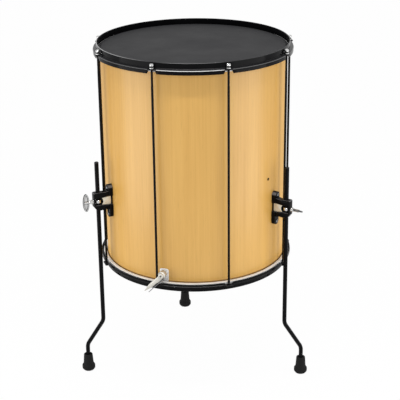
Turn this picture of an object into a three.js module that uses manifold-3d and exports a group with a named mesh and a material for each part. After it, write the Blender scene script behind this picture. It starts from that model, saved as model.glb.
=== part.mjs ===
// Surdo: a bass drum with a wooden shell on three height-adjustable legs.
// Millimetres, +Z up, the floor at z = 0. A piece set round the shell is drawn at the front,
// where outward is -Y and sideways is +X, and is then turned about Z to its own place.
import * as THREE from 'three';
import { mergeVertices } from 'three/addons/utils/BufferGeometryUtils.js';
import Module from 'manifold-3d';

const wasm = await Module();
wasm.setup();

// Driving dimensions
const shellDiameter = 508;
const shellDepth = 604;
const shellWall = 7;
const floorClearance = 340;
const fitGap = 0.3;
const cutOverrun = 2;

// Facet counts
const ringFacets = 48;
const roundFacets = 12;
const smallFacets = 8;
const hexSides = 6;
const cornerSteps = 3;

// Shell
const edgeInset = 3;
const ventAzimuth = 53;
const ventRise = 270;
const ventBore = 3;
const ventBarrel = 5;
const ventFlange = 7.5;
const ventFlangeThickness = 1;

// Heads: a thin skin drawn over the bearing edge and locked in a channel of aluminium
const skinThickness = 0.8;
const channelClearance = 2.3;
const channelWidth = 9.2;
const channelInnerWall = 1.2;
const channelSlotWidth = 3.1;
const channelFloor = 1.6;
const batterChannelHeight = 7.5;
const resonantChannelHeight = 6;

// Counterhoops: a wall that stands over the head, a flange, a lip turned back and a lug a rod
const hoopSeatMargin = 1;
const hoopWallThickness = 2.4;
const batterWallRise = 15.7;
const resonantWallRise = 13.5;
const flangeThickness = 2.2;
const lipReach = 9;
const lipThickness = 2;
const batterLipDrop = 12.6;
const resonantLipDrop = 9.9;
const rimRound = 0.8;
const lugMargin = 7.5;
const lugWidth = 22;
const lugThickness = 3.4;
const lugCorner = 5;
const notchWidth = 16;
const notchSpread = 10;

// Tension rods and their flanged cap nuts; the rods of one side stand at these degrees from
// the front, and those of the other side mirror them
const sideRodAzimuths = [21, 67, 102, 150];
const rodDiameter = 6.4;
const rodHoleClearance = 1;
const rodHeadDiameter = 11;
const rodHeadHeight = 6;
const nutFlangeDiameter = 12.6;
const nutFlangeThickness = 1.5;
const nutAcrossFlats = 10;
const nutHexHeight = 8;
const nutCapDiameter = 9.6;
const nutCapHeight = 4.5;
const nutBoreDepth = 9.5;
const capShoulderShare = 0.5;
const capCrownShare = 0.2;

// Legs
const legDiameter = 12;
const legStandoff = 40.5;
const legBendRadius = 34;
const legUpperBend = 174;
const legLowerBend = 81;
const legOffset = 59.5;
const legFootSink = 12;
const bendSteps = 4;

// Rubber feet
const footHeight = 50;
const footTopDiameter = 25;
const footWaistDiameter = 27.5;
const footBaseDiameter = 37.5;
const footFlareHeight = 20;
const footBaseRound = 4;
const footLipDepth = 3;
const footLipDiameter = 17;

// Leg clamps: bracket, saddle, eye bolt and wing nut
const plateWidth = 22;
const plateHeight = 96;
const plateThickness = 8.5;
const plateEdge = 2.5;
const plateDrop = 4;
const armWidth = 17;
const armScrewClearance = 1.5;
const armWaistHeight = 50;
const armWaistReach = 13;
const housingHeight = 53;
const housingBack = 4;
const housingClearance = 0.5;
const housingWall = 4.5;
const housingCorner = 3;
const housingToeReach = 9;
const housingToeHeight = 12;
const windowFootHeight = 25;
const windowHeight = 20;
const windowLead = 1.5;
const saddleWidth = 15;
const saddleGrip = 2;
const eyeDiameter = 18;
const eyeHeight = 9;
const eyeStemDiameter = 6;
const eyeStemHole = 7;
const eyeStemReach = 21;
const clampWasherDiameter = 13;
const clampWasherThickness = 1.5;
const wingHubDiameter = 13;
const wingHubNose = 9;
const wingHubLength = 23;
const wingSpan = 51;
const wingDepth = 18;
const wingThickness = 3;
const wingNutLength = 28;

// Bracket screws, whose nuts lie inside the shell
const screwInset = 9.5;
const screwDiameter = 5;
const screwHoleDiameter = 5.8;
const screwHeadDiameter = 10.5;
const screwHeadHeight = 3.2;
const screwTail = 6;

// Muffler: a lever outside turns a felt paddle against the lower head
const mufflerAzimuth = -17.7;
const mufflerRise = 35;
const mufflerPlateWidth = 25;
const mufflerPlateHeight = 28;
const mufflerPlateLift = 2.8;
const mufflerPlateThickness = 1.5;
const mufflerPlateCorner = 5;
const sleeveDiameter = 12;
const sleeveFlange = 18;
const sleeveFlangeThickness = 2;
const sleeveTail = 9;
const sleeveNutAcrossFlats = 16;
const sleeveNutThickness = 4;
const shaftDiameter = 6;
const hubDiameter = 21;
const hubLength = 26;
const hubRound = 4;
const hubSocketDepth = 18;
const leverAngle = 225;
const leverThickness = 1.8;
const leverStandoff = 22;
const bladeLength = 71;
const bladeWidth = 11.5;
const bladeTipWidth = 2;
const bladeTaperStart = 47;
const bladeShift = 1.5;
const prongLength = 62;
const prongDepth = 5;
const prongOffset = 12;
const leverWebLength = 24;
const paddleLength = 58;
const paddleInset = 6;
const paddleThickness = 1.5;
const paddleCurlWall = 1.3;
const paddleSleeveGap = 1.2;
const paddleHeadClearance = 6;
const feltThickness = 9;
const feltHeight = 13;
const feltRound = 3;
const feltLength = 54;
const feltHeadClearance = 0.6;

// How high each clamp sits above the shell's lower edge, and how far its rod sticks up past it
const leftClampRise = 199.5;
const rightClampRise = 183.5;
const rearClampRise = 191.5;
const leftRodRise = 113.5;
const rightRodRise = 119.5;
const rearRodRise = 113.5;

// One row a leg: its place round the shell, and which way its foot is turned, in degrees from
// straight out
const legs = [
  { name: 'left', azimuth: -63, clampRise: leftClampRise, topRise: leftRodRise, swivel: -55, wingTurn: 90 },
  { name: 'right', azimuth: 59.5, clampRise: rightClampRise, topRise: rightRodRise, swivel: 62, wingTurn: 155 },
  { name: 'rear', azimuth: 178.4, clampRise: rearClampRise, topRise: rearRodRise, swivel: 72.4, wingTurn: 30 },
];

// Worked out from the sizes above
const shellRadius = shellDiameter / 2;
const shellInnerRadius = shellRadius - shellWall;
const shellBottom = floorClearance;
const shellTop = shellBottom + shellDepth;
const facetSagShare = Math.cos(Math.PI / ringFacets);
const innerFaceRadius = shellInnerRadius * facetSagShare - fitGap;
const mountFaceRadius = shellRadius + fitGap;
const channelTop = -flangeThickness - fitGap;
const channelInnerRadius = shellRadius + channelClearance;
const channelOuterRadius = channelInnerRadius + channelWidth;
const slotInnerRadius = channelInnerRadius + channelInnerWall;
const slotOuterRadius = slotInnerRadius + channelSlotWidth;
const hoopInnerRadius = slotOuterRadius + hoopSeatMargin;
const hoopWallRadius = hoopInnerRadius + hoopWallThickness;
const lipRadius = hoopWallRadius + lipReach;
const rodAzimuths = [...sideRodAzimuths.map((azimuth) => -azimuth).reverse(), ...sideRodAzimuths];
const rodCircleRadius = hoopWallRadius + fitGap + nutFlangeDiameter / 2;
const rodHoleDiameter = rodDiameter + rodHoleClearance;
const lugRadius = rodCircleRadius + lugMargin;
const plateFace = mountFaceRadius + plateThickness;
const screwSpacing = plateHeight - 2 * screwInset;
const upperScrewRise = screwSpacing / 2 - plateDrop;
const armFootRise = upperScrewRise - screwHeadDiameter / 2 - armScrewClearance;
const legRadius = legDiameter / 2;
const legBoreRadius = legRadius + fitGap;
const legCircleRadius = shellRadius + legStandoff;
const windowStraight = legCircleRadius - eyeDiameter / 2 - windowLead;
const housingInnerFace = legCircleRadius + eyeDiameter / 2 + housingClearance;
const housingFace = housingInnerFace + housingWall;
const clampFace = housingFace + fitGap;
const wingNutStart = clampFace + clampWasherThickness + fitGap;
const eyeStemEnd = wingNutStart + eyeStemReach;
const ventHeight = shellBottom + ventRise;
const mufflerHeight = shellBottom + mufflerRise;
const paddleOuterRadius = innerFaceRadius - sleeveTail - paddleSleeveGap;
const paddleInnerRadius = paddleOuterRadius - paddleLength;
const shaftInnerRadius = paddleInnerRadius - paddleInset;
const paddleBladeReach = mufflerRise - paddleHeadClearance;

const radians = THREE.MathUtils.degToRad;

// Geometry helpers

function signedVolume(geometry) {
  const place = geometry.getAttribute('position');
  const order = geometry.getIndex();
  const a = new THREE.Vector3();
  const b = new THREE.Vector3();
  const c = new THREE.Vector3();
  let volume = 0;
  for (let i = 0; i < order.count; i += 3) {
    a.fromBufferAttribute(place, order.getX(i));
    b.fromBufferAttribute(place, order.getX(i + 1));
    c.fromBufferAttribute(place, order.getX(i + 2));
    volume += a.dot(b.cross(c));
  }
  return volume;
}

// Shares the vertices of a closed mesh, drops empty triangles and turns its faces outwards
function closed(source) {
  const bare = source.clone();
  bare.deleteAttribute('normal');
  bare.deleteAttribute('uv');
  const merged = mergeVertices(bare);
  const order = merged.getIndex();
  const kept = [];
  for (let i = 0; i < order.count; i += 3) {
    const a = order.getX(i);
    const b = order.getX(i + 1);
    const c = order.getX(i + 2);
    if (a !== b && b !== c && c !== a) kept.push(a, b, c);
  }
  merged.setIndex(kept);
  if (signedVolume(merged) < 0) {
    const turned = [];
    for (let i = 0; i < kept.length; i += 3) turned.push(kept[i], kept[i + 2], kept[i + 1]);
    merged.setIndex(turned);
  }
  return merged;
}

function toSolid(geometry) {
  const mesh = closed(geometry);
  const vertProperties = new Float32Array(mesh.getAttribute('position').array);
  const triVerts = new Uint32Array(mesh.getIndex().array);
  return new wasm.Manifold(new wasm.Mesh({ numProp: 3, vertProperties, triVerts }));
}

function toGeometry(solid) {
  const mesh = solid.getMesh();
  const geometry = new THREE.BufferGeometry();
  const places = new Float32Array(mesh.vertProperties);
  geometry.setAttribute('position', new THREE.BufferAttribute(places, mesh.numProp));
  geometry.setIndex(Array.from(mesh.triVerts));
  return geometry;
}

function joined(geometries) {
  return toGeometry(geometries.map(toSolid).reduce((whole, next) => whole.add(next)));
}

function cut(geometry, cutters) {
  return toGeometry(cutters.map(toSolid).reduce((rest, next) => rest.subtract(next), toSolid(geometry)));
}

// Each outline point of a revolve is [radius, height]
function revolved(outline, facets) {
  const points = outline.map(([radius, height]) => new THREE.Vector2(radius, height));
  return new THREE.LatheGeometry(points, facets);
}

function upright(outline, facets) {
  return revolved(outline, facets).rotateX(Math.PI / 2);
}

// A revolve whose heights are radii of the shell, its axis pointing outwards at the front
function outward(outline, facets) {
  return revolved(outline, facets).rotateX(Math.PI);
}

function ring(outline, facets = ringFacets) {
  return upright([...outline, outline[0]], facets);
}

function discOutline(radius, from, to) {
  return [[0, from], [radius, from], [radius, to], [0, to]];
}

function tubeOutline(innerRadius, outerRadius, from, to) {
  const corners = [[innerRadius, from], [outerRadius, from], [outerRadius, to], [innerRadius, to]];
  return [...corners, corners[0]];
}

function hexRadius(acrossFlats) {
  return acrossFlats / 2 / Math.cos(Math.PI / hexSides);
}

function polygon(points) {
  return new THREE.Shape(points.map(([x, y]) => new THREE.Vector2(x, y)));
}

function roundedBar(width, height, corner) {
  const halfWidth = width / 2;
  const halfHeight = height / 2;
  const shape = new THREE.Shape();
  shape.moveTo(corner - halfWidth, -halfHeight);
  shape.lineTo(halfWidth - corner, -halfHeight);
  shape.absarc(halfWidth - corner, corner - halfHeight, corner, -Math.PI / 2, 0);
  shape.lineTo(halfWidth, halfHeight - corner);
  shape.absarc(halfWidth - corner, halfHeight - corner, corner, 0, Math.PI / 2);
  shape.lineTo(corner - halfWidth, halfHeight);
  shape.absarc(corner - halfWidth, halfHeight - corner, corner, Math.PI / 2, Math.PI);
  shape.lineTo(-halfWidth, corner - halfHeight);
  shape.absarc(corner - halfWidth, corner - halfHeight, corner, Math.PI, Math.PI * 1.5);
  return shape;
}

function extruded(shape, depth, steps = cornerSteps) {
  return new THREE.ExtrudeGeometry(shape, { depth, bevelEnabled: false, curveSegments: steps });
}

// An outline drawn as [sideways, height] and pushed outwards from one radius to another
function facingOut(shape, fromRadius, toRadius, steps = cornerSteps) {
  return extruded(shape, toRadius - fromRadius, steps).rotateX(Math.PI / 2).translate(0, -fromRadius, 0);
}

// An outline drawn as [radius, height] and given a width across the front
function acrossFront(shape, width, steps = cornerSteps) {
  const out = new THREE.Vector3(0, -1, 0);
  const up = new THREE.Vector3(0, 0, 1);
  const side = new THREE.Vector3(-1, 0, 0);
  const turn = new THREE.Matrix4().makeBasis(out, up, side);
  return extruded(shape, width, steps).translate(0, 0, -width / 2).applyMatrix4(turn);
}

function roundTheShell(geometry, azimuth) {
  return geometry.rotateZ(radians(azimuth));
}

// The head end at the bottom is the one at the top turned over
function atHeadEnd(geometry, isTop) {
  const placed = isTop ? geometry : closed(geometry.scale(1, 1, -1));
  return placed.translate(0, 0, isTop ? shellTop : shellBottom);
}

// Finishes
const finishes = {
  wood: { color: 0xe0b478, roughness: 0.35, metalness: 0 },
  blackSkin: { color: 0x3f3f40, roughness: 0.6, metalness: 0 },
  blackPaint: { color: 0x101011, roughness: 0.3, metalness: 0.4 },
  aluminium: { color: 0xd8d8d6, roughness: 0.35, metalness: 1 },
  chrome: { color: 0xe2e2e0, roughness: 0.12, metalness: 1 },
  zinc: { color: 0xdcd2bc, roughness: 0.4, metalness: 0.9 },
  steel: { color: 0xc4c3bf, roughness: 0.35, metalness: 1 },
  rubber: { color: 0x171717, roughness: 0.85, metalness: 0 },
  felt: { color: 0xb9b4a6, roughness: 1, metalness: 0 },
};

const surdo = new THREE.Group();

function addPiece(name, geometry, finish) {
  const mesh = new THREE.Mesh(closed(geometry), new THREE.MeshStandardMaterial(finishes[finish]));
  mesh.name = name;
  surdo.add(mesh);
}

// Shell

function wallHole(diameter, azimuth, height, facets = smallFacets) {
  const outline = discOutline(diameter / 2, shellInnerRadius - cutOverrun, shellRadius + cutOverrun);
  return roundTheShell(outward(outline, facets).translate(0, 0, height), azimuth);
}

function clampHeight(leg) {
  return shellBottom + leg.clampRise;
}

function screwHeights(leg) {
  const upper = clampHeight(leg) + upperScrewRise;
  return [upper - screwSpacing, upper];
}

function buildShell() {
  const crest = shellRadius - edgeInset;
  const bevel = crest - shellInnerRadius;
  const body = ring([
    [shellInnerRadius, shellBottom + bevel],
    [crest, shellBottom],
    [shellRadius, shellBottom + edgeInset],
    [shellRadius, shellTop - edgeInset],
    [crest, shellTop],
    [shellInnerRadius, shellTop - bevel],
  ]);
  const holes = [
    wallHole(ventBarrel + 2 * fitGap, ventAzimuth, ventHeight),
    wallHole(sleeveDiameter + 2 * fitGap, mufflerAzimuth, mufflerHeight, roundFacets),
  ];
  for (const leg of legs) {
    for (const height of screwHeights(leg)) holes.push(wallHole(screwHoleDiameter, leg.azimuth, height));
  }
  return cut(body, holes);
}

function buildVentEyelet() {
  const bore = ventBore / 2;
  const barrel = ventBarrel / 2;
  const flange = ventFlange / 2;
  const outline = [
    [bore, innerFaceRadius - ventFlangeThickness],
    [flange, innerFaceRadius - ventFlangeThickness],
    [flange, innerFaceRadius],
    [barrel, innerFaceRadius],
    [barrel, mountFaceRadius],
    [flange, mountFaceRadius],
    [flange, mountFaceRadius + ventFlangeThickness],
    [bore, mountFaceRadius + ventFlangeThickness],
  ];
  const eyelet = outward([...outline, outline[0]], smallFacets).translate(0, 0, ventHeight);
  return roundTheShell(eyelet, ventAzimuth);
}

// Heads and hoops, drawn with height 0 on the bearing edge and positive away from the shell

function buildSkin(channelHeight) {
  const crest = shellRadius - edgeInset;
  const slotRadius = slotInnerRadius + fitGap;
  const slotFloor = channelTop - channelHeight + channelFloor + fitGap;
  const inner = [
    [0, fitGap],
    [crest, fitGap],
    [shellRadius + fitGap, fitGap - edgeInset],
    [slotRadius, channelTop],
    [slotRadius, slotFloor],
  ];
  const outer = [
    [slotRadius + skinThickness, slotFloor],
    [slotRadius + skinThickness, channelTop + skinThickness],
    [shellRadius + fitGap + skinThickness, fitGap - edgeInset + skinThickness],
    [crest + skinThickness / 2, fitGap + skinThickness],
    [0, fitGap + skinThickness],
  ];
  return upright([...inner, ...outer], ringFacets);
}

function buildChannel(channelHeight) {
  const channelBottom = channelTop - channelHeight;
  const slotFloor = channelBottom + channelFloor;
  return ring([
    [channelInnerRadius, channelBottom],
    [channelOuterRadius, channelBottom],
    [channelOuterRadius, channelTop],
    [slotOuterRadius, channelTop],
    [slotOuterRadius, slotFloor],
    [slotInnerRadius, slotFloor],
    [slotInnerRadius, channelTop - fitGap],
    [channelInnerRadius, channelTop - fitGap],
  ]);
}

function buildCounterhoop(wallRise, lipDrop) {
  const body = ring([
    [hoopInnerRadius, -flangeThickness],
    [lipRadius - lipThickness, -flangeThickness],
    [lipRadius - lipThickness, -lipDrop],
    [lipRadius, -lipDrop],
    [lipRadius, -rimRound],
    [lipRadius - rimRound, 0],
    [hoopWallRadius, 0],
    [hoopWallRadius, wallRise - rimRound],
    [hoopWallRadius - rimRound, wallRise],
    [hoopInnerRadius, wallRise],
  ]);
  const notchTop = notchWidth / 2;
  const notchBottom = notchTop + notchSpread / 2;
  const notchDrop = lipDrop + cutOverrun;
  const notch = polygon([
    [-notchTop, -flangeThickness],
    [-notchBottom, -notchDrop],
    [notchBottom, -notchDrop],
    [notchTop, -flangeThickness],
  ]);
  const lugInner = channelOuterRadius + fitGap;
  const lugSide = lugWidth / 2;
  const lugShape = new THREE.Shape();
  lugShape.moveTo(lugSide, -lugInner);
  lugShape.lineTo(-lugSide, -lugInner);
  lugShape.absarc(lugCorner - lugSide, lugCorner - lugRadius, lugCorner, Math.PI, Math.PI * 1.5);
  lugShape.absarc(lugSide - lugCorner, lugCorner - lugRadius, lugCorner, -Math.PI / 2, 0);
  const holeOutline = discOutline(rodHoleDiameter / 2, -lugThickness - cutOverrun, cutOverrun);
  const lugs = [];
  const notches = [];
  const holes = [];
  for (const azimuth of rodAzimuths) {
    const lug = extruded(lugShape, lugThickness).translate(0, 0, -lugThickness);
    const notchBack = lipRadius - lipThickness - cutOverrun;
    const notchCutter = facingOut(notch, notchBack, lipRadius + cutOverrun);
    const hole = upright(holeOutline, smallFacets).translate(0, -rodCircleRadius, 0);
    lugs.push(roundTheShell(lug, azimuth));
    notches.push(roundTheShell(notchCutter, azimuth));
    holes.push(roundTheShell(hole, azimuth));
  }
  return cut(joined([cut(body, notches), ...lugs]), holes);
}

// Tension hardware, each piece drawn at the front on the rod circle

function atRod(geometry, azimuth) {
  return roundTheShell(geometry.translate(0, -rodCircleRadius, 0), azimuth);
}

function nutSeatHeight() {
  return shellTop + fitGap;
}

function buildTensionRod(azimuth) {
  const radius = rodDiameter / 2;
  const headRadius = rodHeadDiameter / 2;
  const headTop = shellBottom - fitGap;
  const headBottom = headTop - rodHeadHeight;
  const rodTop = nutSeatHeight() + nutBoreDepth - fitGap;
  const outline = [
    [0, headBottom],
    [headRadius, headBottom],
    [headRadius, headTop],
    [radius, headTop],
    [radius, rodTop],
    [0, rodTop],
  ];
  return atRod(upright(outline, smallFacets), azimuth);
}

function buildTensionNut(azimuth) {
  const seat = nutSeatHeight();
  const flange = upright(discOutline(nutFlangeDiameter / 2, seat, seat + nutFlangeThickness), roundFacets);
  const hexOutline = discOutline(hexRadius(nutAcrossFlats), seat + nutFlangeThickness / 2, seat + nutHexHeight);
  const hex = upright(hexOutline, hexSides);
  const capRadius = nutCapDiameter / 2;
  const capBase = seat + nutHexHeight - fitGap;
  const capTop = seat + nutHexHeight + nutCapHeight;
  const shoulder = capRadius * Math.SQRT1_2;
  const cap = upright([
    [0, capBase],
    [capRadius, capBase],
    [capRadius, capTop - capRadius * capShoulderShare],
    [shoulder, capTop - capRadius * capCrownShare],
    [0, capTop],
  ], smallFacets);
  const boreRadius = rodDiameter / 2 + fitGap;
  const bore = upright(discOutline(boreRadius, seat - cutOverrun, seat + nutBoreDepth), smallFacets);
  return atRod(cut(joined([flange, hex, cap]), [bore]), azimuth);
}

// Leg clamps, drawn with height 0 on the clamp's middle

function atClamp(geometry, leg) {
  return roundTheShell(geometry.translate(0, 0, clampHeight(leg)), leg.azimuth);
}

function mirroredOutline(half) {
  const below = half.map(([radius, height]) => [radius, -height]).reverse();
  return polygon([...half, ...below]);
}

function legCutter(radius) {
  const reach = housingHeight / 2 + cutOverrun;
  return upright(discOutline(radius, -reach, reach), roundFacets).translate(0, -legCircleRadius, 0);
}

function buildBracket(leg) {
  const flatWidth = plateWidth - 2 * plateEdge;
  const stadium = roundedBar(flatWidth, plateHeight - 2 * plateEdge, flatWidth / 2);
  const plate = new THREE.ExtrudeGeometry(stadium, {
    depth: plateThickness - 2 * plateEdge,
    bevelThickness: plateEdge,
    bevelSize: plateEdge,
    bevelSegments: 1,
    curveSegments: cornerSteps,
  }).rotateX(Math.PI / 2).translate(0, -mountFaceRadius - plateEdge, -plateDrop);
  const arms = acrossFront(polygon([
    [plateFace - plateThickness / 2, armFootRise],
    [plateFace, armFootRise],
    [plateFace + armWaistReach, armWaistHeight / 2],
    [legCircleRadius - housingBack, housingHeight / 2],
    [housingFace - housingCorner, housingHeight / 2],
    [housingFace, housingHeight / 2 - housingCorner],
    [housingFace, housingToeHeight - housingHeight / 2],
    [housingFace - housingToeReach, -housingHeight / 2],
    [legCircleRadius - housingBack, -housingHeight / 2],
    [plateFace + armWaistReach, -armWaistHeight / 2],
    [plateFace, -armFootRise],
    [plateFace - plateThickness / 2, -armFootRise],
  ]), armWidth);
  const windowWidth = Math.max(armWidth, plateWidth) + 2 * cutOverrun;
  const window = acrossFront(mirroredOutline([
    [mountFaceRadius - cutOverrun, windowFootHeight / 2],
    [plateFace, windowFootHeight / 2],
    [windowStraight, windowHeight / 2],
    [housingInnerFace, windowHeight / 2],
  ]), windowWidth);
  const stemHole = outward(
    discOutline(eyeStemHole / 2, housingInnerFace - cutOverrun, housingFace + cutOverrun),
    smallFacets,
  );
  const cutters = [window, legCutter(legBoreRadius), stemHole];
  for (const rise of [upperScrewRise, upperScrewRise - screwSpacing]) {
    const hole = outward(
      discOutline(screwHoleDiameter / 2, mountFaceRadius - cutOverrun, plateFace + cutOverrun),
      smallFacets,
    );
    cutters.push(hole.translate(0, 0, rise));
  }
  return atClamp(cut(joined([plate, arms]), cutters), leg);
}

function buildSaddle(leg) {
  const slotHeight = eyeHeight / 2 + fitGap;
  const saddleEnd = legCircleRadius - legBoreRadius + saddleGrip;
  const wedge = acrossFront(mirroredOutline([
    [mountFaceRadius, windowFootHeight / 2 - 2 * fitGap],
    [plateFace, windowFootHeight / 2 - 2 * fitGap],
    [windowStraight, windowHeight / 2 - fitGap],
    [saddleEnd, windowHeight / 2 - fitGap],
    [saddleEnd, slotHeight],
    [legCircleRadius - eyeDiameter / 2 - fitGap, slotHeight],
  ]), saddleWidth);
  return atClamp(cut(wedge, [legCutter(legBoreRadius)]), leg);
}

function buildEyeBolt(leg) {
  const half = eyeHeight / 2;
  const eye = upright(discOutline(eyeDiameter / 2, -half, half), roundFacets);
  const stemStart = legCircleRadius + legRadius + fitGap;
  const stem = outward(
    discOutline(eyeStemDiameter / 2, stemStart, eyeStemEnd),
    smallFacets,
  );
  const whole = joined([eye.translate(0, -legCircleRadius, 0), stem]);
  return atClamp(cut(whole, [legCutter(legBoreRadius)]), leg);
}

function buildClampWasher(leg) {
  const top = clampFace + clampWasherThickness;
  const outline = tubeOutline(eyeStemHole / 2, clampWasherDiameter / 2, clampFace, top);
  return atClamp(outward(outline, smallFacets), leg);
}

function buildWingNut(leg) {
  const end = wingNutStart + wingNutLength;
  const hubEnd = wingNutStart + wingHubLength;
  const hub = outward([
    [0, wingNutStart],
    [wingHubDiameter / 2, wingNutStart],
    [wingHubNose / 2, hubEnd],
    [0, hubEnd],
  ], roundFacets);
  const wings = new THREE.Shape();
  wings.absellipse(end - wingDepth / 2, 0, wingDepth / 2, wingSpan / 2, 0, Math.PI * 2);
  const blade = acrossFront(wings, wingThickness, roundFacets);
  const bore = outward(
    discOutline(eyeStemDiameter / 2 + fitGap, wingNutStart - cutOverrun, eyeStemEnd + fitGap),
    smallFacets,
  );
  const nut = cut(joined([hub, blade]), [bore]);
  const axis = new THREE.Vector3(0, -1, 0);
  const turn = new THREE.Matrix4().makeRotationAxis(axis, radians(leg.wingTurn - 90));
  return atClamp(nut.applyMatrix4(turn), leg);
}

// Legs: upright, bent outwards and upright again above the foot

class LegPath extends THREE.Curve {
  constructor(stations) {
    super();
    this.stations = stations;
  }

  getPoint(share, target = new THREE.Vector3()) {
    const place = share * (this.stations.length - 1);
    const index = Math.min(Math.floor(place), this.stations.length - 2);
    return target.lerpVectors(this.stations[index], this.stations[index + 1], place - index);
  }

  getPointAt(share, target) {
    return this.getPoint(share, target);
  }

  getTangentAt(share, target) {
    return this.getTangent(share, target);
  }
}

// Points of a rounded corner at b on the way from a to c
function cornerPoints(a, b, c, radius) {
  const into = new THREE.Vector3().subVectors(b, a).normalize();
  const outOf = new THREE.Vector3().subVectors(c, b).normalize();
  const angle = into.angleTo(outOf);
  const start = b.clone().addScaledVector(into, -radius * Math.tan(angle / 2));
  const inward = outOf.clone().addScaledVector(into, -into.dot(outOf)).normalize();
  const points = [];
  for (let i = 0; i <= bendSteps; i += 1) {
    const turn = (angle * i) / bendSteps;
    const point = start.clone().addScaledVector(into, radius * Math.sin(turn));
    points.push(point.addScaledVector(inward, radius * (1 - Math.cos(turn))));
  }
  return points;
}

function footPlace(leg) {
  const turn = radians(leg.swivel);
  const sideways = legOffset * Math.sin(turn);
  return new THREE.Vector3(sideways, -legCircleRadius - legOffset * Math.cos(turn), 0);
}

function buildLegRod(leg) {
  const foot = footPlace(leg);
  const top = new THREE.Vector3(0, -legCircleRadius, clampHeight(leg) + leg.topRise);
  const upper = new THREE.Vector3(0, -legCircleRadius, legUpperBend);
  const lower = new THREE.Vector3(foot.x, foot.y, legLowerBend);
  const end = new THREE.Vector3(foot.x, foot.y, legFootSink);
  const stations = [
    top,
    ...cornerPoints(top, upper, lower, legBendRadius),
    ...cornerPoints(upper, lower, end, legBendRadius),
    end,
  ];
  const section = new THREE.Shape();
  section.absarc(0, 0, legRadius, 0, Math.PI * 2);
  const rod = new THREE.ExtrudeGeometry(section, {
    steps: stations.length - 1,
    curveSegments: roundFacets / 2,
    extrudePath: new LegPath(stations),
  });
  return roundTheShell(rod, leg.azimuth);
}

function buildFoot(leg) {
  const place = footPlace(leg);
  const base = footBaseDiameter / 2;
  const outline = [
    [0, 0],
    [base - footBaseRound, 0],
    [base, footBaseRound],
    [base, footFlareHeight - footBaseRound],
    [footWaistDiameter / 2, footFlareHeight],
    [footTopDiameter / 2, footHeight],
    [footLipDiameter / 2, footHeight],
    [legBoreRadius, footHeight - footLipDepth],
    [legBoreRadius, legFootSink - fitGap],
    [0, legFootSink - fitGap],
  ];
  const foot = upright(outline, roundFacets).translate(place.x, place.y, 0);
  return roundTheShell(foot, leg.azimuth);
}

// Bracket screws

function buildBracketScrew(leg, height) {
  const headRadius = screwHeadDiameter / 2;
  const shank = screwDiameter / 2;
  const seat = plateFace + fitGap;
  const tail = innerFaceRadius - screwTail;
  const screw = outward([
    [0, tail],
    [shank, tail],
    [shank, seat],
    [headRadius, seat],
    [headRadius, seat + screwHeadHeight / 2],
    [headRadius / 2, seat + screwHeadHeight],
    [0, seat + screwHeadHeight],
  ], smallFacets);
  return roundTheShell(screw.translate(0, 0, height), leg.azimuth);
}

// Muffler, drawn with height 0 on its shaft

function atMuffler(geometry) {
  return roundTheShell(geometry.translate(0, 0, mufflerHeight), mufflerAzimuth);
}

function mufflerPlateFace() {
  return mountFaceRadius + mufflerPlateThickness;
}

function buildMufflerPlate() {
  const outline = roundedBar(mufflerPlateWidth, mufflerPlateHeight, mufflerPlateCorner);
  const plate = facingOut(outline, mountFaceRadius, mufflerPlateFace());
  const lowered = plate.translate(0, 0, -mufflerPlateLift);
  const hole = outward(
    discOutline(sleeveDiameter / 2 + fitGap, mountFaceRadius - cutOverrun, mufflerPlateFace() + cutOverrun),
    roundFacets,
  );
  return atMuffler(cut(lowered, [hole]));
}

function buildMufflerSleeve() {
  const bore = shaftDiameter / 2 + fitGap;
  const barrel = sleeveDiameter / 2;
  const flangeBack = mufflerPlateFace() + fitGap;
  const flangeFace = flangeBack + sleeveFlangeThickness;
  const tail = innerFaceRadius - sleeveTail;
  const outline = [
    [bore, tail],
    [barrel, tail],
    [barrel, flangeBack],
    [sleeveFlange / 2, flangeBack],
    [sleeveFlange / 2, flangeFace],
    [bore, flangeFace],
  ];
  return atMuffler(outward([...outline, outline[0]], roundFacets));
}

function buildSleeveNut() {
  const from = innerFaceRadius - sleeveNutThickness;
  const block = outward(discOutline(hexRadius(sleeveNutAcrossFlats), from, innerFaceRadius), hexSides);
  const bore = sleeveDiameter / 2 + fitGap;
  const hole = outward(discOutline(bore, from - cutOverrun, innerFaceRadius + cutOverrun), roundFacets);
  return atMuffler(cut(block, [hole]));
}

function hubStart() {
  return mufflerPlateFace() + sleeveFlangeThickness + 2 * fitGap;
}

function buildMufflerShaft() {
  const end = hubStart() + hubSocketDepth - fitGap;
  return atMuffler(outward(discOutline(shaftDiameter / 2, shaftInnerRadius, end), roundFacets));
}

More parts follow.
